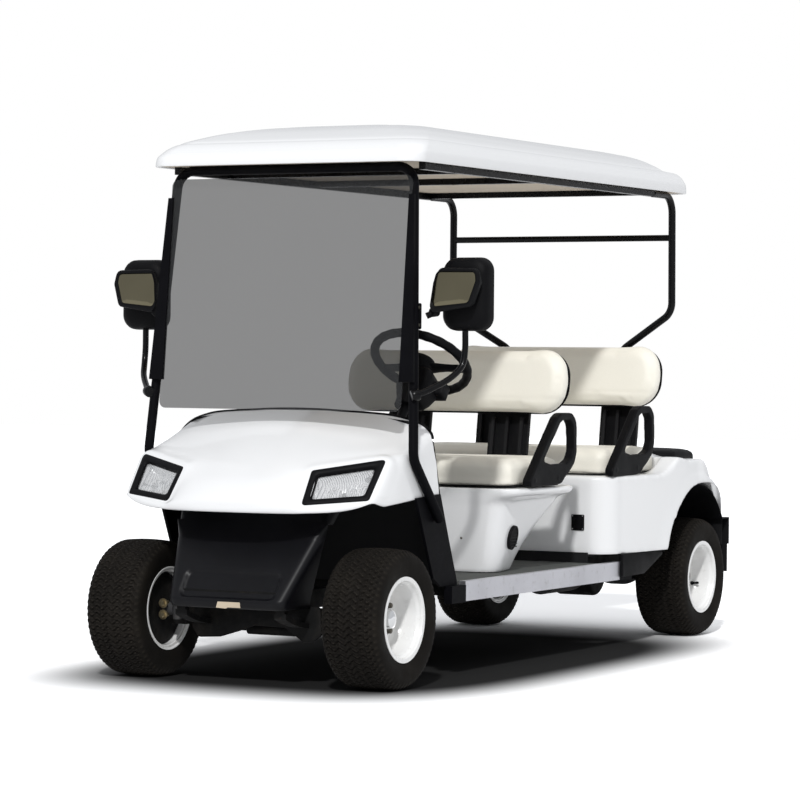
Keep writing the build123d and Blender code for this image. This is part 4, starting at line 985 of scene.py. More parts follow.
def add_seat_base():
    """Tapered base under the front seat, flaring into the ledge that carries the cushion."""
    foot = (0.434, 0.376, 874, 1136)
    levels = []
    for height in range(0, 241, 20):
        share = height / 240
        flare = share**2.2
        levels.append((height, foot[0] + 0.014 * flare, foot[1] + 0.074 * share + 0.03 * flare,
                       foot[2] - 3 * share, foot[3] + 190 * share**1.25))
    for height, grow in ((252, 0.014), (262, 0.032), (270, 0.052), (280, 0.062), (296, 0.06)):
        levels.append((height, 0.448 + grow, 0.46 + grow, 870 - 40 * grow, 1330 + 900 * grow))
    rings = []
    for height, front_half, back_half, y0, y1 in levels:
        corners = [(-front_half, front(y0)), (front_half, front(y0)),
                   (back_half, front(y1)), (-back_half, front(y1))]
        ring = rounded(corners, [0.075, 0.075, 0.09, 0.09], 9)
        rings.append([(x, y, up(height)) for x, y in ring])
    body = soften(skin(rings), 0.007, 10)
    body = keep_faces(body, lambda c, n: not (n.z < -0.8 and c.z < up(12)))
    body = keep_faces(
        body,
        lambda c, n: not (n.z > 0.8 and c.z > up(280) and abs(c.x) < 0.38
                          and front(915) < c.y < front(1235)),
    )
    body = thickened(lighter(body, 0.6), 0.0035)
    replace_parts(place("seat_base", body, "white_gelcoat", angle=50), "front_seat_pod")
    # dark oval vents low on its sides, and the screws that hold the base
    vents, screws = [], []
    tree = BVHTree.FromPolygons([v.co for v in body.vertices], [p.vertices for p in body.polygons])
    for side in (1, -1):
        spot, axis, _, _ = tree.ray_cast(Vector((side, front(1004), up(121))), Vector((-side, 0, 0)))
        axis = axis if axis.x * side > 0 else -axis
        disc = turned([(0.0085, 0.0003), (0.0085, 0.03), (0.0105, 0.032), (0.0115, 0.036),
                       (0.01, 0.039), (-0.012, 0.039)], (0, 0, 0), axis, 40)
        for k in range(-3, 4):
            reach = 0.031 - abs(k) * 0.002
            disc = joined([disc, tube([axis * 0.009 + Vector((0, -reach, k * 0.009)),
                                       axis * 0.009 + Vector((0, reach, k * 0.009))], 0.002, 6)])
        vents.append(moved(disc, Matrix.Translation(spot) @ Matrix.Diagonal((1, 0.92, 1.12, 1))))
    place("base_vents", joined(vents), "black_plastic")
    for x in (-0.3, 0.0, 0.3):
        spot = (x, front(872.5), up(120))
        screws.append(turned([(0, 0.0002), (0.0005, 0.0045), (0.002, 0.003), (0.0026, 0.0002)],
                             spot, (0, -1, 0), 12))
    place("base_screws", joined(screws), "bare_steel")


def add_rear_details():
    """Deck cover, arch liners, side skirts and the charging socket."""
    # black cover over the rear deck, crowned and rounded at its ends
    rings = []
    for inset, level in ((0.003, 361), (0.0, 364), (0.001, 378), (0.006, 388), (0.018, 395),
                         (0.04, 399), (0.09, 401), (0.14, 401.6), (0.15, 401.6)):
        ring = round_rect(0.43 - inset, rear(-110) + inset, rear(214) - inset, 0.085 - inset / 3, 12)
        rings.append([(x, y, up(level + 0.8) - 0.004 * ((y - rear(20)) / 0.13) ** 2) for x, y in ring])
    made = place("deck_cover", skin(rings), "black_plastic", angle=60)
    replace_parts(made, "rear_deck")
    # black liners inside the arches over the rear wheels
    inner = arch_outline(0.975)[2:-1] + [(rear(213.95), up(20))]
    liner = skin([[(x, *p) for p in inner] for x in (0.338, 0.45, 0.528)], closed_rings=False)
    place("arch_liners", both_sides(thickened(liner, 0.002)), "black_plastic")
    # black skirts along the body's foot, between the sills and the rear wheels
    outline = rounded([(rear(-758), up(-57)), (rear(-560), up(-54)), (rear(-388), up(10)),
                       (rear(-388), up(30)), (rear(-758), up(30))], 0.008, 3)
    place("side_skirts", both_sides(plate(outline, "x", 0.518, 0.532)), "black_plastic")
    # charging socket: square plate, dark bowl, spring cap and four screws
    x0, z0 = 0.398, up(146)
    face = rear(-868)
    corners = [(x0 - 0.0255, z0 - 0.0295), (x0 + 0.0255, z0 - 0.0295),
               (x0 + 0.0255, z0 + 0.0295), (x0 - 0.0255, z0 + 0.0295)]
    base = plate(rounded(corners, 0.004, 3), "y", face - 0.004, face + 0.008, 0.0012)
    bowl = turned([(0.004, 0.0185), (0.0058, 0.0195), (0.0058, 0.0165), (-0.006, 0.0155),
                   (-0.008, 0.0003)], (x0, face, z0), (0, -1, 0), 40)
    pins = [turned([(-0.008, 0.0003), (-0.008, 0.003), (0.003, 0.003), (0.0035, 0.0003)],
                   (x0 + dx, face, z0 + dz), (0, -1, 0), 14)
            for dx, dz in ((0.0, 0.007), (-0.006, -0.0035), (0.006, -0.0035))]
    made = place("socket_plate", joined([base, bowl, *pins]), "black_plastic", angle=40)
    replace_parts(made, "charging_socket")
    screws = [turned([(0.003, 0.0002), (0.004, 0.0032), (0.0055, 0.0026), (0.006, 0.0002)],
                     (x0 + dx, face, z0 + dz), (0, -1, 0), 12)
              for dx in (-0.02, 0.02) for dz in (-0.024, 0.024)]
    place("socket_screws", joined(screws), "chrome", angle=25)


add_rear_body()
add_seat_base()
add_rear_details()


# Seats

X_WARD, Y_WARD, Z_WARD = Vector((1, 0, 0)), Vector((0, 1, 0)), Vector((0, 0, 1))
PAD_VOXEL = 0.0096     # the pads' grid


def shrunk(mesh, amount):
    """The mesh drawn in towards its middle by an amount on every side, so that it can swell."""
    result = mesh.copy()
    centre = sum((v.co for v in result.vertices), Vector()) / len(result.vertices)
    spans = [max(abs((v.co - centre)[i]) for v in result.vertices) for i in range(3)]
    for vertex in result.vertices:
        off = vertex.co - centre
        for i in range(3):
            off[i] *= 1 - amount / spans[i]
        vertex.co = centre + off
    return result


def places_of(mesh):
    """The mesh's points as rows of an array."""
    flat = np.zeros(len(mesh.vertices) * 3)
    mesh.vertices.foreach_get("co", flat)
    return flat.reshape(-1, 3)


def inflate(mesh, cap):
    """Swells a closed pad like stuffed vinyl, no point moving further than cap."""
    pad = in_scene("pad", soften(mesh, PAD_VOXEL, 6))
    start = places_of(pad.data)
    cloth = pad.modifiers.new("cloth", "CLOTH").settings
    for key, value in {
        "use_pressure": True, "uniform_pressure_force": 4.0, "quality": 4, "mass": 0.4,
        "tension_stiffness": 18, "compression_stiffness": 18, "bending_stiffness": 1.2,
    }.items():
        setattr(cloth, key, value)
    cloth.effector_weights.gravity = 0
    scene = bpy.context.scene
    for number in range(1, 21):
        scene.frame_set(number)
    graph = bpy.context.evaluated_depsgraph_get()
    swollen = bpy.data.meshes.new_from_object(pad.evaluated_get(graph))
    step = places_of(swollen) - start
    length = np.linalg.norm(step, axis=1, keepdims=True)
    step *= np.minimum(1.0, cap / np.maximum(length, 1e-9))
    swollen.vertices.foreach_set("co", (start + step).ravel())
    bpy.data.objects.remove(pad)
    scene.frame_set(1)
    return swollen


def stuffed(mesh, cap):
    """A pad's final mesh, drawn in and then swollen."""
    return inflate(shrunk(mesh, cap * 0.4), cap)


def stretched(mesh, axis, low, high):
    """Scales a mesh along an axis so that it reaches from low to high."""
    spans = [v.co.dot(axis) for v in mesh.vertices]
    first, last = min(spans), max(spans)
    for vertex, span in zip(mesh.vertices, spans):
        vertex.co += axis * (low + (span - first) * (high - low) / (last - first) - span)


def cad_copy(node):
    """Copy of a CAD node's mesh, welded into closed form."""
    work = bmesh.new()
    work.from_mesh(nodes[node].data)
    bmesh.ops.remove_doubles(work, verts=work.verts, dist=0.00002)
    mesh = bpy.data.meshes.new(node + "_copy")
    work.to_mesh(mesh)
    work.free()
    return mesh


def press_line(mesh, away, depth, width, facing):
    """Sewn line across a pad's face: a narrow groove where away, a function, gives none."""
    for vertex in mesh.vertices:
        if vertex.normal.dot(facing) > 0.3:
            share = math.exp(-((away(vertex.co) / width) ** 2))
            vertex.co -= vertex.normal * depth * share


def add_cushion(row, body):
    """Stuffed cushion on its lid, with a black cord round its foot: piping on the rear cushion, a
    painted shadow gap on the front one.
    """
    node = row + "_seat_cushion"
    low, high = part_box(node)
    margin = 0.001
    pad = stuffed(cad_copy(node), 0.014)
    stretched(pad, X_WARD, low.x + margin, high.x - margin)
    stretched(pad, Y_WARD, low.y + margin, high.y - margin)
    # a sewn channel across the seat, and a seam along its front
    pad.update()
    channel, seam = low.y + 0.62 * (high.y - low.y), low.z + 0.03
    press_line(pad, lambda co: co.y - channel, 0.006, 0.006, Z_WARD)
    press_line(pad, lambda co: co.z - seam, 0.003, 0.003, -Y_WARD)
    pad = modify(pad, ("SMOOTH", {"factor": 0.5, "iterations": 1}), FINER)
    for vertex in pad.vertices:
        vertex.co.z = max(vertex.co.z, low.z + 0.0005)
    made = place(row + "_cushion", pad, "cream_vinyl", body, angle=80)
    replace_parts(made, node)
    # round the front cushion, which has no piping, the black cord is a painted shadow gap
    inset, radius = 0.006, 0.003
    ring = round_rect((high.x - low.x) / 2 - inset, low.y + inset, high.y - inset, 0.05, 14)
    cord = tube([(x, y, low.z + radius) for x, y in ring], radius, 8, loop=True)
    place(row + "_cushion_piping", cord, "black_plastic", body)


TILT = math.radians(9.0)
REST_UP = Vector((0, math.sin(TILT), math.cos(TILT)))
REST_OUT = Vector((0, -math.cos(TILT), math.sin(TILT)))   # towards the sitter
REST_FEET = [(front(1362), up(558)), (rear(-296), up(576))]

# sections of a pad and of the shell behind it: (drawn in, towards the sitter)
REST_PAD = [(0.03, -0.07), (0.011, -0.069), (0.002, -0.063), (0.0, -0.052), (0.0, -0.03),
            (0.003, -0.015), (0.012, -0.006), (0.032, -0.002)]
REST_SHELL = [(0.003, -0.0705), (0.0, -0.0745), (0.001, -0.081), (0.01, -0.0856),
              (0.1, -0.0862), (0.111, -0.0842)]


def add_backrests():
    """Stuffed pads in dished black shells, with a cord of piping between them."""
    pads, shells, cords = [], [], []
    for y, z in REST_FEET:
        foot = Vector((0, y, z))

        def point(x, rise, out):
            return foot + X_WARD * x + REST_UP * rise + REST_OUT * out

        def block(half, low, high, radius, profile):
            rings = []
            for inset, out in profile:
                ring = round_rect(half - inset, low + inset, high - inset, radius - inset / 2, 12)
                rings.append([point(x, rise, out) for x, rise in ring])
            return skin(rings)

        pad = stuffed(block(0.4465, 0.001, 0.2305, 0.098, REST_PAD), 0.011)
        level = foot.dot(REST_UP)
        stretched(pad, X_WARD, -0.4475, 0.4475)
        stretched(pad, REST_UP, level - 0.001, level + 0.2315)
        pad.update()
        press_line(pad, lambda co: (co - foot).dot(REST_UP) - 0.046, 0.002, 0.004, REST_OUT)
        pads.append(pad)
        shells.append(block(0.438, 0.003, 0.2265, 0.094, REST_SHELL))
        line = [point(x, rise, -0.0705) for x, rise in round_rect(0.4425, 0.0035, 0.2285, 0.096, 12)]
        cords.append(tube(line, 0.0034, 8, loop=True))
    made = place("backrest_pads", modify(joined(pads), FINER), "cream_vinyl", angle=80)
    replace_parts(made, "backrests")
    made = place("backrest_trays", joined(shells), "black_plastic", angle=50)
    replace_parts(made, "backrest_shells")
    place("backrest_piping", joined(cords), "black_plastic")


add_cushion("front", "front_seat_lid")
add_cushion("rear", "rear_seat_lid")
add_backrests()


# Wheels; along their axle, positive is outwards

TYRE_R = 0.2295
TREAD_HALF = 0.084
BLOCKS = 62
GROOVES = (-0.06, -0.034, -0.0115, 0.0115, 0.034, 0.06)
OUTER = 0.094           # the rim's outer lip
DISC = OUTER - 0.098    # face of the dished disc
AROUND_WHEEL = 2 * math.pi


def tyre_section():
    """Section of the tyre, (across, radius), from its inner bead over the tread and back."""
    side = [
        (-0.0875, 0.1273), (-0.089, 0.133), (-0.0902, 0.14), (-0.0925, 0.1425),
        (-0.095, 0.148), (-0.0985, 0.16), (-0.1012, 0.174), (-0.1027, 0.186),
        (-0.1024, 0.196), (-0.1006, 0.204), (-0.0975, 0.21), (-0.0925, 0.2155),
    ]
    tread = []
    steps = 40
    for i in range(steps + 1):
        w = -0.088 + 0.176 * i / steps
        drop = 0.005 * (abs(w) / TREAD_HALF) ** 2
        if abs(w) > 0.076:
            drop += ((abs(w) - 0.076) / 0.012) ** 1.6 * 0.0062
        tread.append((w, TYRE_R - drop))
    return side + tread + [(-w, r) for w, r in reversed(side)] + [(0.078, 0.1273), (-0.078, 0.1273)]


def tread_depth(w, turn):
    """How far the tread is cut in at a place: wavy cuts across it and fine grooves round it."""
    deepest = 0.0
    for groove in GROOVES:
        near = abs(w + 0.0014 * math.sin(turn * BLOCKS) - groove) / 0.0018
        deepest = max(deepest, 0.003 * math.exp(-(near**4)))
    phase = (turn * BLOCKS / AROUND_WHEEL + 0.3 * math.sin(w * 2 * math.pi / 0.04)) % 1.0
    cut_in = 0.0052 if phase < 0.2 else 0.0
    if 0.5 < phase < 0.6 and 0.012 < abs(w) < 0.075:
        cut_in = 0.0026
    return max(deepest, cut_in if abs(w) < 0.087 else 0.0)


def build_tyre(seed):
    section = tyre_section()
    steps = BLOCKS * 8
    rings = []
    for k in range(steps):
        turn = AROUND_WHEEL * (k + 0.35) / steps
        ring = []
        c, s = math.cos(turn), math.sin(turn)
        for w, r in section:
            if abs(w) <= 0.0881 and r > 0.215:
                r -= tread_depth(w, turn + seed)
            elif r > 0.205 and abs(w) > 0.09:
                # short shoulder ribs
                r += 0.0016 if int(turn * BLOCKS / AROUND_WHEEL * 2 + seed) % 2 else -0.0008
            ring.append((w, r * c, r * s))
        rings.append(ring)
    return skin(rings, caps=False, loop=True)


# sections of what turns with a wheel: (across, radius)
RIM = [
    (OUTER, 0.1372), (OUTER, 0.1398), (OUTER - 0.0022, 0.14), (OUTER - 0.004, 0.1385),
    (OUTER - 0.0044, 0.129), (OUTER - 0.0044, 0.1272), (-OUTER + 0.0044, 0.1272),
    (-OUTER + 0.0044, 0.1385), (-OUTER + 0.0022, 0.14), (-OUTER, 0.1398), (-OUTER, 0.1372),
    (-OUTER + 0.003, 0.135), (-OUTER + 0.012, 0.1238), (DISC - 0.01, 0.1232),
    (DISC - 0.006, 0.112), (DISC, 0.1), (DISC, 0.052), (DISC, 0.0142), (DISC + 0.006, 0.0142),
    (DISC + 0.006, 0.05), (DISC + 0.0075, 0.056), (DISC + 0.012, 0.062), (DISC + 0.0135, 0.07),
    (DISC + 0.0115, 0.079), (DISC + 0.0085, 0.086), (DISC + 0.0085, 0.095), (DISC + 0.0125, 0.1035),
    (DISC + 0.024, 0.111), (DISC + 0.042, 0.1152), (DISC + 0.06, 0.1172), (OUTER - 0.024, 0.118),
    (OUTER - 0.018, 0.119), (OUTER - 0.0125, 0.123), (OUTER - 0.0095, 0.1247),
    (OUTER - 0.003, 0.1252), (OUTER - 0.0012, 0.1262), (OUTER - 0.0004, 0.129),
]
HUB = [
    (DISC + 0.001, 0.0145), (DISC - 0.06, 0.0145), (DISC - 0.06, 0.05), (DISC - 0.052, 0.052),
    (DISC - 0.03, 0.052), (DISC - 0.024, 0.062), (DISC - 0.006, 0.064), (DISC + 0.001, 0.064),
]
DRUM = [(-0.07, 0.02), (-0.07, 0.104), (-0.064, 0.1195), (-0.018, 0.1195), (-0.012, 0.112),
        (-0.01, 0.06)]
NUT_SEAT = [(-0.002, 0.0002), (-0.002, 0.0125), (0.002, 0.0125), (0.004, 0.0105)]
NUT = [(0.001, 0.0103), (0.013, 0.01), (0.016, 0.0085), (0.018, 0.0055), (0.0185, 0.0002)]
VALVE = [(-0.004, 0.0003), (-0.004, 0.0075), (0.003, 0.007), (0.006, 0.0048), (0.02, 0.0042),
         (0.021, 0.0052), (0.031, 0.005), (0.032, 0.0003)]


def wheel_nuts(face, pitch_radius):
    parts = []
    for degrees in (45, 135, 225, 315):
        t = math.radians(degrees)
        spot = (face, pitch_radius * math.cos(t), pitch_radius * math.sin(t))
        parts += [turned(NUT_SEAT, spot, sides=18), turned(NUT, spot, sides=6)]
    return joined(parts)


def hub_cap(face, height):
    return turned([
        (face - 0.004, 0.0003), (face - 0.004, 0.034), (face + 0.002, 0.036), (face + 0.006, 0.0335),
        (face + height - 0.012, 0.0315), (face + height - 0.004, 0.029), (face + height, 0.022),
        (face + height + 0.0015, 0.01), (face + height + 0.0018, 0.0003),
    ], sides=56)


def valve_stem(degrees):
    """Valve in its hole in the barrel, at an angle from the cart's back, turning upwards."""
    valve = math.radians(degrees)
    c, s = math.cos(valve), math.sin(valve)
    return turned(VALVE, (DISC + 0.014, 0.103 * c, 0.103 * s), (0.96, -0.28 * c, -0.28 * s), 16)


def add_wheel(tag, side, plane, y, cap_look, cap_height, valve):
    """One wheel: its outer lip lies plane away from the cart's middle."""
    centre = Vector((side * (plane - OUTER), y, AXLE_Z))
    spot = Matrix.Translation(centre) @ Matrix.Diagonal((side, 1, 1, 1))
    body = "wheel_" + tag
    phase = rng.random()
    tyre = place(tag + "_tyre", moved(build_tyre(phase), spot), "tyre_rubber", body, angle=28)
    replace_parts(tyre, "tyre_" + tag)
    rim = turned(RIM, sides=112, closed=True)
    made = place(tag + "_rim", moved(rim, spot), "wheel_white", body, angle=30)
    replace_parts(made, "rim_" + tag)
    face = DISC + 0.0085
    for name, mesh, finish, angle in (
        ("_hub", turned(HUB, closed=True), "cast_housing", 35),
        ("_nuts", wheel_nuts(face + 0.002, 0.058), "bare_steel", 25),
        ("_cap", hub_cap(face, cap_height), cap_look, 40),
        ("_valve", valve_stem(valve), "channel_rubber", 35),
        ("_drum", turned(DRUM, sides=64), "chassis_steel", 30),
    ):
        place(tag + name, moved(mesh, spot), finish, body, angle)


for end, plane, y, *cap_and_valve in (
    ("front", 0.54, FRONT_AXLE, "chrome", 0.047, -103),
    ("rear", 0.534, REAR_AXLE, "cast_housing", 0.03, -19),
):
    for hand, side in (("left", 1), ("right", -1)):
        add_wheel(f"{end}_{hand}", side, plane, y, *cap_and_valve)


# Armrests, mirrors and lamps on the posts


# the armrest's outline and the opening through it (back, up; mm), with each corner's radius
ARM = [(973, 0, 3), (969, 23, 8), (1190, 242, 30), (1226, 257, 30), (1316, 256, 40), (1352, 224, 40),
       (1356, 116, 50), (1336, 74, 40), (1290, 43, 30), (1256, 25, 20), (1230, 6, 10), (1190, 0, 4)]
ARM_HOLE = [(1076, 88, 10), (1214, 220, 12), (1240, 231, 16), (1298, 231, 26), (1322, 210, 26),
            (1329, 124, 26), (1310, 92, 30), (1264, 76, 30), (1150, 74, 30)]


def arm_line(points, shift, deck):
    return [((y + shift) / 1000, up(z + deck)) for y, z in points]


def add_armrests():
    """Two loops on each side, flat on their outer faces, with the bolts at their feet."""
    outer_face = 0.5205
    arms = []
    row_step = 699   # from the front seat's arms back to the rear seat's (mm)
    for shift_y, deck in ((FRONT_AXLE * 1000, 300), (FRONT_AXLE * 1000 + row_step, 318)):

        def block(corners, inner, outer):
            line = arm_line([(y, z) for y, z, _ in corners], shift_y, deck)
            return prism(rounded(line, [r / 1000 for _, _, r in corners], 4), "x", inner, outer)

        arm = soften(cut(block(ARM, 0.4875, outer_face), block(ARM_HOLE, 0.47, 0.54)), 0.004, 7)
        low = up(deck)
        for vertex in arm.vertices:
            vertex.co.z = max(vertex.co.z, low + 0.0005)
            vertex.co.x = min(vertex.co.x, outer_face)
        arms.append(lighter(arm, 0.5))
        bolts = [((y + shift_y) / 1000, up(z + deck)) for y, z in ((1010, 22), (1200, 26))]
        arms += [turned([(0, 0.0003), (0, 0.011), (0.0025, 0.01), (0.0035, 0.0003)],
                        (0.5188, y, z), (1, 0, 0), 20) for y, z in bolts]
    made = place("armrest_loops", both_sides(joined(arms)), "black_plastic", angle=60)
    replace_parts(made, "armrests")


def box_ring(half_x, half_z, radius, y, centre):
    """Rounded rectangle standing across the cart at a depth y."""
    ring = round_rect(half_x, -half_z, half_z, radius, 10)
    return [(centre[0] + x, centre[1] + y, centre[2] + z) for x, z in ring]


def add_mirrors():
    """Deep black shells with a recessed lip, and the glass a little proud of it."""
    centre = (0.6225, front(257), up(959))
    rings = []
    for y, shrink in (
        (0.029, 0.006), (0.031, 0.003), (0.031, 0.0), (0.02, 0.0), (0.0, 0.0015), (-0.012, 0.005),
        (-0.021, 0.012), (-0.027, 0.022), (-0.0305, 0.036), (-0.031, 0.055),
    ):
        rings.append(box_ring(0.0855 - shrink, 0.121 - shrink, 0.046, y, centre))
    shell = skin(rings)
    lip = skin([box_ring(0.0785, 0.114, 0.042, 0.0312, centre),
                box_ring(0.0775, 0.113, 0.042, 0.026, centre)], caps=False)
    made = place("mirror_shells", both_sides(joined([shell, lip])), "black_plastic", angle=50)
    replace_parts(made, "mirror_housings")
    glass = skin([box_ring(0.0775, 0.113, 0.042, 0.0316, centre),
                  box_ring(0.077, 0.1125, 0.042, 0.0322, centre),
                  box_ring(0.07, 0.106, 0.04, 0.0328, centre)])
    made = place("mirror_faces", both_sides(glass), "mirror", angle=40)
    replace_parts(made, "mirror_glasses")


def add_mirror_stems():
    """Bent rod from the clamp on the front post up into the mirror's foot."""
    line = [(0.512, 112, 0.954), (0.545, 148, 0.972), (0.59, 202, 1.008), (0.614, 244, 1.05),
            (0.6185, 257, 1.1), (0.6185, 258, 1.166)]
    line = spline([(x, front(y), z) for x, y, z in line], 6)
    clamp = turned([(-0.014, 0.0003), (-0.014, 0.017), (-0.011, 0.019), (0.011, 0.019),
                    (0.014, 0.017), (0.014, 0.0003)], line[0], (0.75, 0.62, 0.2), 20)
    made = place("mirror_rods", both_sides(joined([tube(line, 0.0105, 14), clamp])), "black_paint",
                 angle=50)
    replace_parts(made, "mirror_stems")


# front face of the small panel beside each mirror: out and up, in millimetres
PANEL = [(555, 1045), (695, 1042), (704, 995), (679, 917), (539, 896), (527, 917), (535, 996)]
PANEL_FACE = [(549, 1031), (686, 1030), (690, 1000), (667, 929), (543, 917), (534, 934), (541, 996)]


def add_post_panels():
    """Small panels beside the mirrors, leaning back, each on an arm and a plate on its post."""
    lean, level = 0.12, 0.97   # how far they lean back for each metre up, and where from

    def ring(points, depth, radius):
        flat = rounded([(x / 1000, z / 1000) for x, z in points], radius, 4)
        return [(x, front(196) + depth + (z - level) * lean, FLOOR_Z + z) for x, z in flat]

    def inset(points, amount):
        middle = (sum(p[0] for p in points) / len(points), sum(p[1] for p in points) / len(points))
        grown = []
        for x, z in points:
            off = Vector((x - middle[0], z - middle[1]))
            grown.append(tuple(Vector(middle) + off * (1 - amount / off.length)))
        return grown

    rings = [
        ring(inset(PANEL, 26), 0.03, 0.02), ring(inset(PANEL, 12), 0.026, 0.022),
        ring(inset(PANEL, 3), 0.014, 0.024), ring(PANEL, 0.0, 0.024), ring(PANEL, -0.012, 0.024),
        ring(inset(PANEL, 3), -0.0165, 0.022), ring(inset(PANEL_FACE, -3), -0.0165, 0.018),
        ring(inset(PANEL_FACE, 1), -0.0125, 0.016),
    ]
    shell = skin(rings)
    face = skin([ring(inset(PANEL_FACE, 1), -0.013, 0.016), ring(inset(PANEL_FACE, 8), -0.0152, 0.015),
                 ring(inset(PANEL_FACE, 30), -0.017, 0.01)])
    # arm, its knuckle, and the plate on the post
    arm = spline([(0.546, front(200), up(905)), (0.528, front(193), up(894)),
                  (0.512, front(186), up(886))], 5)
    knuckle = [(-0.014, 0.0003), (-0.014, 0.013), (-0.011, 0.0155), (0.011, 0.0155),
               (0.014, 0.013), (0.014, 0.0003)]
    parts = [shell, tube(arm, 0.0105, 14),
             turned(knuckle, (0.536, front(196), up(899)), (0.3, 0.9, 0.1), 20)]
    outline = rounded([(0.486, up(842)), (0.503, up(842)), (0.503, up(928)), (0.486, up(928))], 0.006)
    parts.append(plate(outline, "y", front(164), front(170)))
    made = place("post_panels", both_sides(joined(parts)), "black_plastic", angle=45)
    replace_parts(made, "side_lamps")
    place("post_panel_faces", both_sides(face), "mirror", angle=60)
    heads = [bolt((0.4945, front(164), up(h)), (0, -1, 0), 0.0042, 0.0045) for h in (856, 914)]
    place("post_panel_bolts", both_sides(joined(heads)), "bare_steel", angle=25)


add_armrests()
add_mirrors()
add_mirror_stems()
add_post_panels()


# Valance, steering wheel and column shroud

SLOPE_RISE, SLOPE_RUN = 245, 169   # the valance's face leans back by the run over this rise
SLOPE_OUT = Vector((0, -SLOPE_RISE, SLOPE_RUN)).normalized()


def valance_ring(height, face, half, back=-60.0):
    """Open section of the valance: side wall, rounded corner, face and back again (mm)."""
    radius = max(1.0, min(30.0, (back - face) * 0.9))
    right = [(half + 1, back), (half + 1, (face + radius + back) / 2)]
    for k in range(7):
        t = math.pi / 2 * k / 6
        right.append((half - radius + radius * math.cos(t), face + radius - radius * math.sin(t)))
    reach = half - radius
    middle = [(reach * (1 - 2 * k / 56), face) for k in range(1, 56)]
    line = right + middle + [(-x, y) for x, y in reversed(right)]
    return [Vector((x / 1000, front(y), above_ground(height))) for x, y in line]


def slope_face(height):
    """The valance's face: how far back it lies at a height (mm), and its half width."""
    back = -229 + (height - 286) * SLOPE_RUN / SLOPE_RISE
    return back, 219 + (height - 286) * 0.262


def add_valance():
    """Black face under the bonnet, with its recess, slot and screws; heights over the ground."""
    rings = [valance_ring(*row) for row in (
        (276, -150, 196), (262, -180, 202), (259.5, -205, 206), (260, -219, 211), (263, -226, 215),
        (270, -229.5, 217), (280, -229.5, 218), (286, -229, 219),
    )]
    for height in (*range(290, 532, 4), 532.5):
        rings.append(valance_ring(height, *slope_face(height)))
    shell = skin(rings, closed_rings=False)
    for vertex in shell.vertices:
        x, y, z = vertex.co
        height = (z - FLOOR_Z) * 1000 + FLOOR_TOP
        if not 284 < height < 386 or y > front(slope_face(height)[0] + 6):
            continue
        # recessed lower panel with rounded ends
        away = max(abs(x) * 1000 - 158, 0), max(abs(height - 333) - 22, 0)
        gap = 22 - math.hypot(*away)
        vertex.co -= SLOPE_OUT * 0.011 * eased(clamp((gap + 4) / 12))
    made = place("valance", thickened(shell, -0.003), "black_plastic", angle=60, look="satin_black")
    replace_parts(made, "front_valance")
    # the same face goes on up under the bonnet's lip
    rings = []
    for height in (531, 545, 560, 575, 590, 606):
        face, half = slope_face(height)
        rings.append(valance_ring(height, face, half, face + 30))
    place("valance_top", thickened(skin(rings, closed_rings=False), -0.003), "black_plastic",
          angle=60, look="satin_black")
    slot = plate([(-0.032, up(-67)), (-0.026, up(-47)), (0.058, up(-47)), (0.059, up(-65)),
                  (0.012, up(-65)), (0.005, up(-69))], "y", front(-233.6), front(-229), 0.0008, 1)
    place("valance_slot", slot, "beige_liner")
    screws = []
    for x, height in ((-262, 578), (104, 590), (129, 416), (-190, 470), (190, 470)):
        face = slope_face(height)[0]
        spot = Vector((x / 1000, front(face), above_ground(height)))
        screws.append(turned([(-0.001, 0.0002), (-0.001, 0.0045), (0.0012, 0.004), (0.0022, 0.0002)],
                             spot, SLOPE_OUT, 14))
    place("valance_screws", joined(screws), "bare_steel", angle=25)


def add_front_member():
    """Pressed steel member that hangs in front of the axle."""
    outline = [(-0.228, 0.262), (-0.238, 0.176), (-0.214, 0.142), (-0.13, 0.147), (-0.06, 0.168),
               (0.0, 0.19), (0.118, 0.188), (0.16, 0.16), (0.188, 0.142), (0.226, 0.147),
               (0.256, 0.17), (0.25, 0.262)]
    member = plate(rounded(outline, 0.018, 4), "y", front(-44), front(-32), 0.003)
    place("front_member", member, "chassis_steel")


def add_knuckle_bolts():
    """Studs with brass-coloured nuts on the front of each knuckle."""
    for side, name in ((1, "left"), (-1, "right")):
        studs = []
        for z in (0.21, 0.248):
            studs.append(turned([(0, 0.0003), (0, 0.008), (0.026, 0.008), (0.026, 0.0003)],
                                (side * 0.356, front(-10), z), (0, -1, 0), 16))
            studs.append(bolt((side * 0.356, front(-35), z), (0, -1, 0), 0.011, 0.014))
        place("knuckle_bolts_" + name, joined(studs), "bare_steel", "knuckle_" + name, look="brass")


WHEEL_AXIS = Vector((0, 0.602, 0.7985)).normalized()   # towards the driver
WHEEL_RISE = Vector((0, -0.7985, 0.602)).normalized()
WHEEL_HUB = Vector((0.23, front(691), up(734)))


def on_wheel(x, rise, out):
    return WHEEL_HUB + Vector((x, 0, 0)) + WHEEL_RISE * rise + WHEEL_AXIS * out


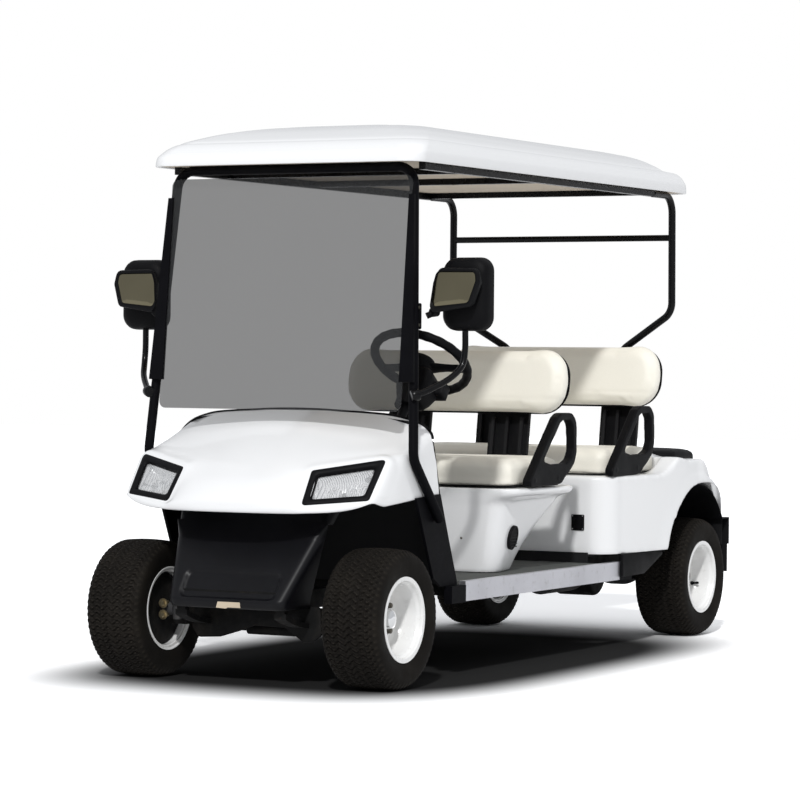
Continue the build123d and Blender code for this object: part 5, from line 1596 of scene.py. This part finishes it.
def add_steering_wheel():
    """Rim with finger swells, three dished spokes and a domed pad."""
    radius, grip, swell, steps = 0.1668, 0.0158, 0.0007, 96
    rim = [on_wheel(radius * c, radius * s, 0) for c, s in circle(steps)]
    grips = [grip + swell * math.cos(24 * math.pi * 2 * k / steps) for k in range(steps)]
    parts = [tube(rim, grips, 16, loop=True)]
    for turn, hub_half, rim_half in ((-14, 0.036, 0.024), (194, 0.036, 0.024), (270, 0.034, 0.024)):
        t = math.radians(turn)
        along = Vector((math.cos(t), math.sin(t)))
        across = Vector((-along.y, along.x))
        rings = []
        for share in (0.0, 0.12, 0.3, 0.5, 0.7, 0.86, 1.0):
            reach = 0.03 + share * 0.132
            half = hub_half + (rim_half - hub_half) * share - 0.01 * math.sin(math.pi * share)
            lift = -0.02 * (1 - share) ** 1.5
            ring = []
            for c, s in circle(16):
                p = along * reach + across * half * c
                ring.append(on_wheel(p.x, p.y, lift + 0.0085 * s))
            rings.append(ring)
        parts.append(skin(rings))
    pad = turned([(-0.052, 0.0003), (-0.052, 0.036), (-0.03, 0.046), (-0.014, 0.054),
                  (-0.004, 0.055), (0.004, 0.05), (0.009, 0.038), (0.011, 0.018), (0.0112, 0.0003)],
                 WHEEL_HUB, WHEEL_AXIS, 48)
    parts.append(pad)
    made = place("wheel_grip", joined(parts), "black_plastic", "steering_wheel", angle=60)
    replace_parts(made, "steering_wheel")


def add_shroud():
    """Shroud round the column's head, with its switch box, stalk and key switch."""
    rings = []
    for out, half_x, half_up, drop in (
        (-0.046, 0.04, 0.036, 0.0), (-0.05, 0.052, 0.047, -0.004), (-0.062, 0.062, 0.054, -0.01),
        (-0.085, 0.066, 0.056, -0.014), (-0.12, 0.063, 0.054, -0.016), (-0.15, 0.054, 0.048, -0.014),
        (-0.172, 0.045, 0.041, -0.01), (-0.178, 0.036, 0.034, -0.008),
    ):
        ring = round_rect(half_x, -half_up, half_up, 0.026, 7)
        rings.append([on_wheel(x + 0.012, h + drop, out) for x, h in ring])
    parts = [skin(rings)]
    # switch box on its lower right side
    rings = []
    for out, grow in ((-0.058, -0.006), (-0.062, 0.0), (-0.108, 0.0), (-0.114, -0.008)):
        ring = round_rect(0.034 + grow, -0.026 - grow, 0.026 + grow, 0.01, 5)
        rings.append([on_wheel(x + 0.07, h - 0.052, out) for x, h in ring])
    parts.append(skin(rings))
    stalk = spline([on_wheel(-0.04, -0.01, -0.075), on_wheel(-0.085, -0.006, -0.066),
                    on_wheel(-0.125, 0.002, -0.052)], 5)
    parts.append(tube(stalk, 0.0055, 10))
    place("column_shroud", joined(parts), "black_plastic", angle=60)
    key = turned([(0, 0.0002), (0, 0.01), (0.004, 0.01), (0.0045, 0.007), (0.012, 0.0065),
                  (0.0125, 0.0002)], on_wheel(0.082, -0.052, -0.0575), WHEEL_AXIS, 20)
    place("key_switch", key, "chrome")


add_valance()
add_front_member()
add_knuckle_bolts()
add_steering_wheel()
add_shroud()


# Floor, light and camera


def seen_directly(tree):
    """One for what the camera sees, also through glass, and none for light thrown back."""
    path = add_node(tree, "LightPath")
    rays = {0: path.outputs["Is Camera Ray"], 1: path.outputs["Is Transmission Ray"]}
    return add_node(tree, "Math", rays, operation="MAXIMUM").outputs[0]


def mixed(tree, factor, first, second):
    values = {"Factor": factor, "A": first, "B": second}
    return add_node(tree, "Mix", values, data_type="RGBA").outputs["Result"]


def painted_shadow_under_cart(tree):
    """Mask of the painted shadow: nearly none under the cart and one in the open, soft at the edge, over
    the floor's plan.
    """
    half_width, half_length, shift = 0.85, 1.46, 0.19
    dark, fade_from, fade_to = 0.02, 0.74, 1.16
    on_floor = add_node(tree, "TexCoord").outputs["Object"]
    scale = (1 / half_width, 1 / half_length, 0.0)
    spot = add_node(tree, "Mapping", {"Vector": on_floor, "Location": (0.0, shift, 0.0), "Scale": scale})
    parts = add_node(tree, "SeparateXYZ", {0: spot.outputs["Vector"]}).outputs

    def power(source, exponent):
        return add_node(tree, "Math", {0: source, 1: exponent}, operation="POWER").outputs[0]

    total = add_node(tree, "Math", {0: power(parts[0], 4), 1: power(parts[1], 4)}).outputs[0]
    values = {"Value": power(total, 0.25), "From Min": fade_from, "From Max": fade_to, "To Min": dark}
    return add_node(tree, "MapRange", values, interpolation_type="SMOOTHSTEP").outputs["Result"]


def floor_paint():
    """A pale ground that looks brighter to the camera than the light that it throws back, with a shadow
    painted dark under the cart.
    """
    thrown_back, seen, shadow = (0.8, 0.8, 0.8, 1), (1.3, 1.3, 1.3, 1), (0, 0, 0, 1)
    material = bpy.data.materials.new("studio_floor")
    material.use_nodes = True
    tree = material.node_tree
    tree.nodes.clear()
    # painted shadow: the floor's seen colour goes dark under the cart
    shade = mixed(tree, painted_shadow_under_cart(tree), shadow, seen)
    colour = mixed(tree, seen_directly(tree), thrown_back, shade)
    diffuse = add_node(tree, "BsdfDiffuse", {"Color": colour})
    add_node(tree, "OutputMaterial", {"Surface": diffuse.outputs[0]})
    return material


def add_floor():
    half = 30.0
    corners = [(-half, -half, 0), (half, -half, 0), (half, half, 0), (-half, half, 0)]
    mesh = mesh_of("floor", corners, [(0, 1, 2, 3)])
    mesh.materials.append(floor_paint())
    floor = in_scene("floor", mesh)


def add_world():
    """A white backdrop that lights the cart a little less than it shows."""
    world = bpy.data.worlds.new("studio")
    world.use_nodes = True
    tree = world.node_tree
    tree.nodes.clear()
    colour = mixed(tree, seen_directly(tree), (0.56, 0.57, 0.59, 1), (1, 1, 1, 1))
    background = add_node(tree, "Background", {"Color": colour})
    add_node(tree, "OutputWorld", {"Surface": background.outputs[0]})
    bpy.context.scene.world = world


def add_sun(name, towards, spread, strength):
    """Light from a direction, the same all over the floor; spread is its width in degrees."""
    lamp = bpy.data.lights.new(name, "SUN")
    lamp.angle = math.radians(spread)
    lamp.energy = strength
    made = in_scene(name, lamp)
    made.rotation_euler = Vector(towards).to_track_quat("Z", "Y").to_euler()


def add_camera():
    """Long lens on the cart's front left; the three directions are the camera's own."""
    lens = bpy.data.cameras.new("camera")
    lens.lens = 146.47
    lens.sensor_width = 36
    lens.clip_end = 200
    rightward = (0.88393302, 0.46754002, 0.00829081)
    upward = (-0.01350731, 0.0078063, 0.9998783)
    backward = (0.4674184, -0.88393743, 0.01321546)
    spot = (5.4246, -10.5618, 1.078)
    made = in_scene("camera", lens)
    made.matrix_world = Matrix([*zip(rightward, upward, backward, spot), (0, 0, 0, 1)])
    bpy.context.scene.camera = made


add_floor()
add_world()
add_sun("key", (0.31, -0.714, 0.628), 3, 2.0)
add_sun("top", (0.3, 0.1, 1.0), 70, 0.35)
add_camera()
bpy.context.scene.view_settings.view_transform = "Standard"
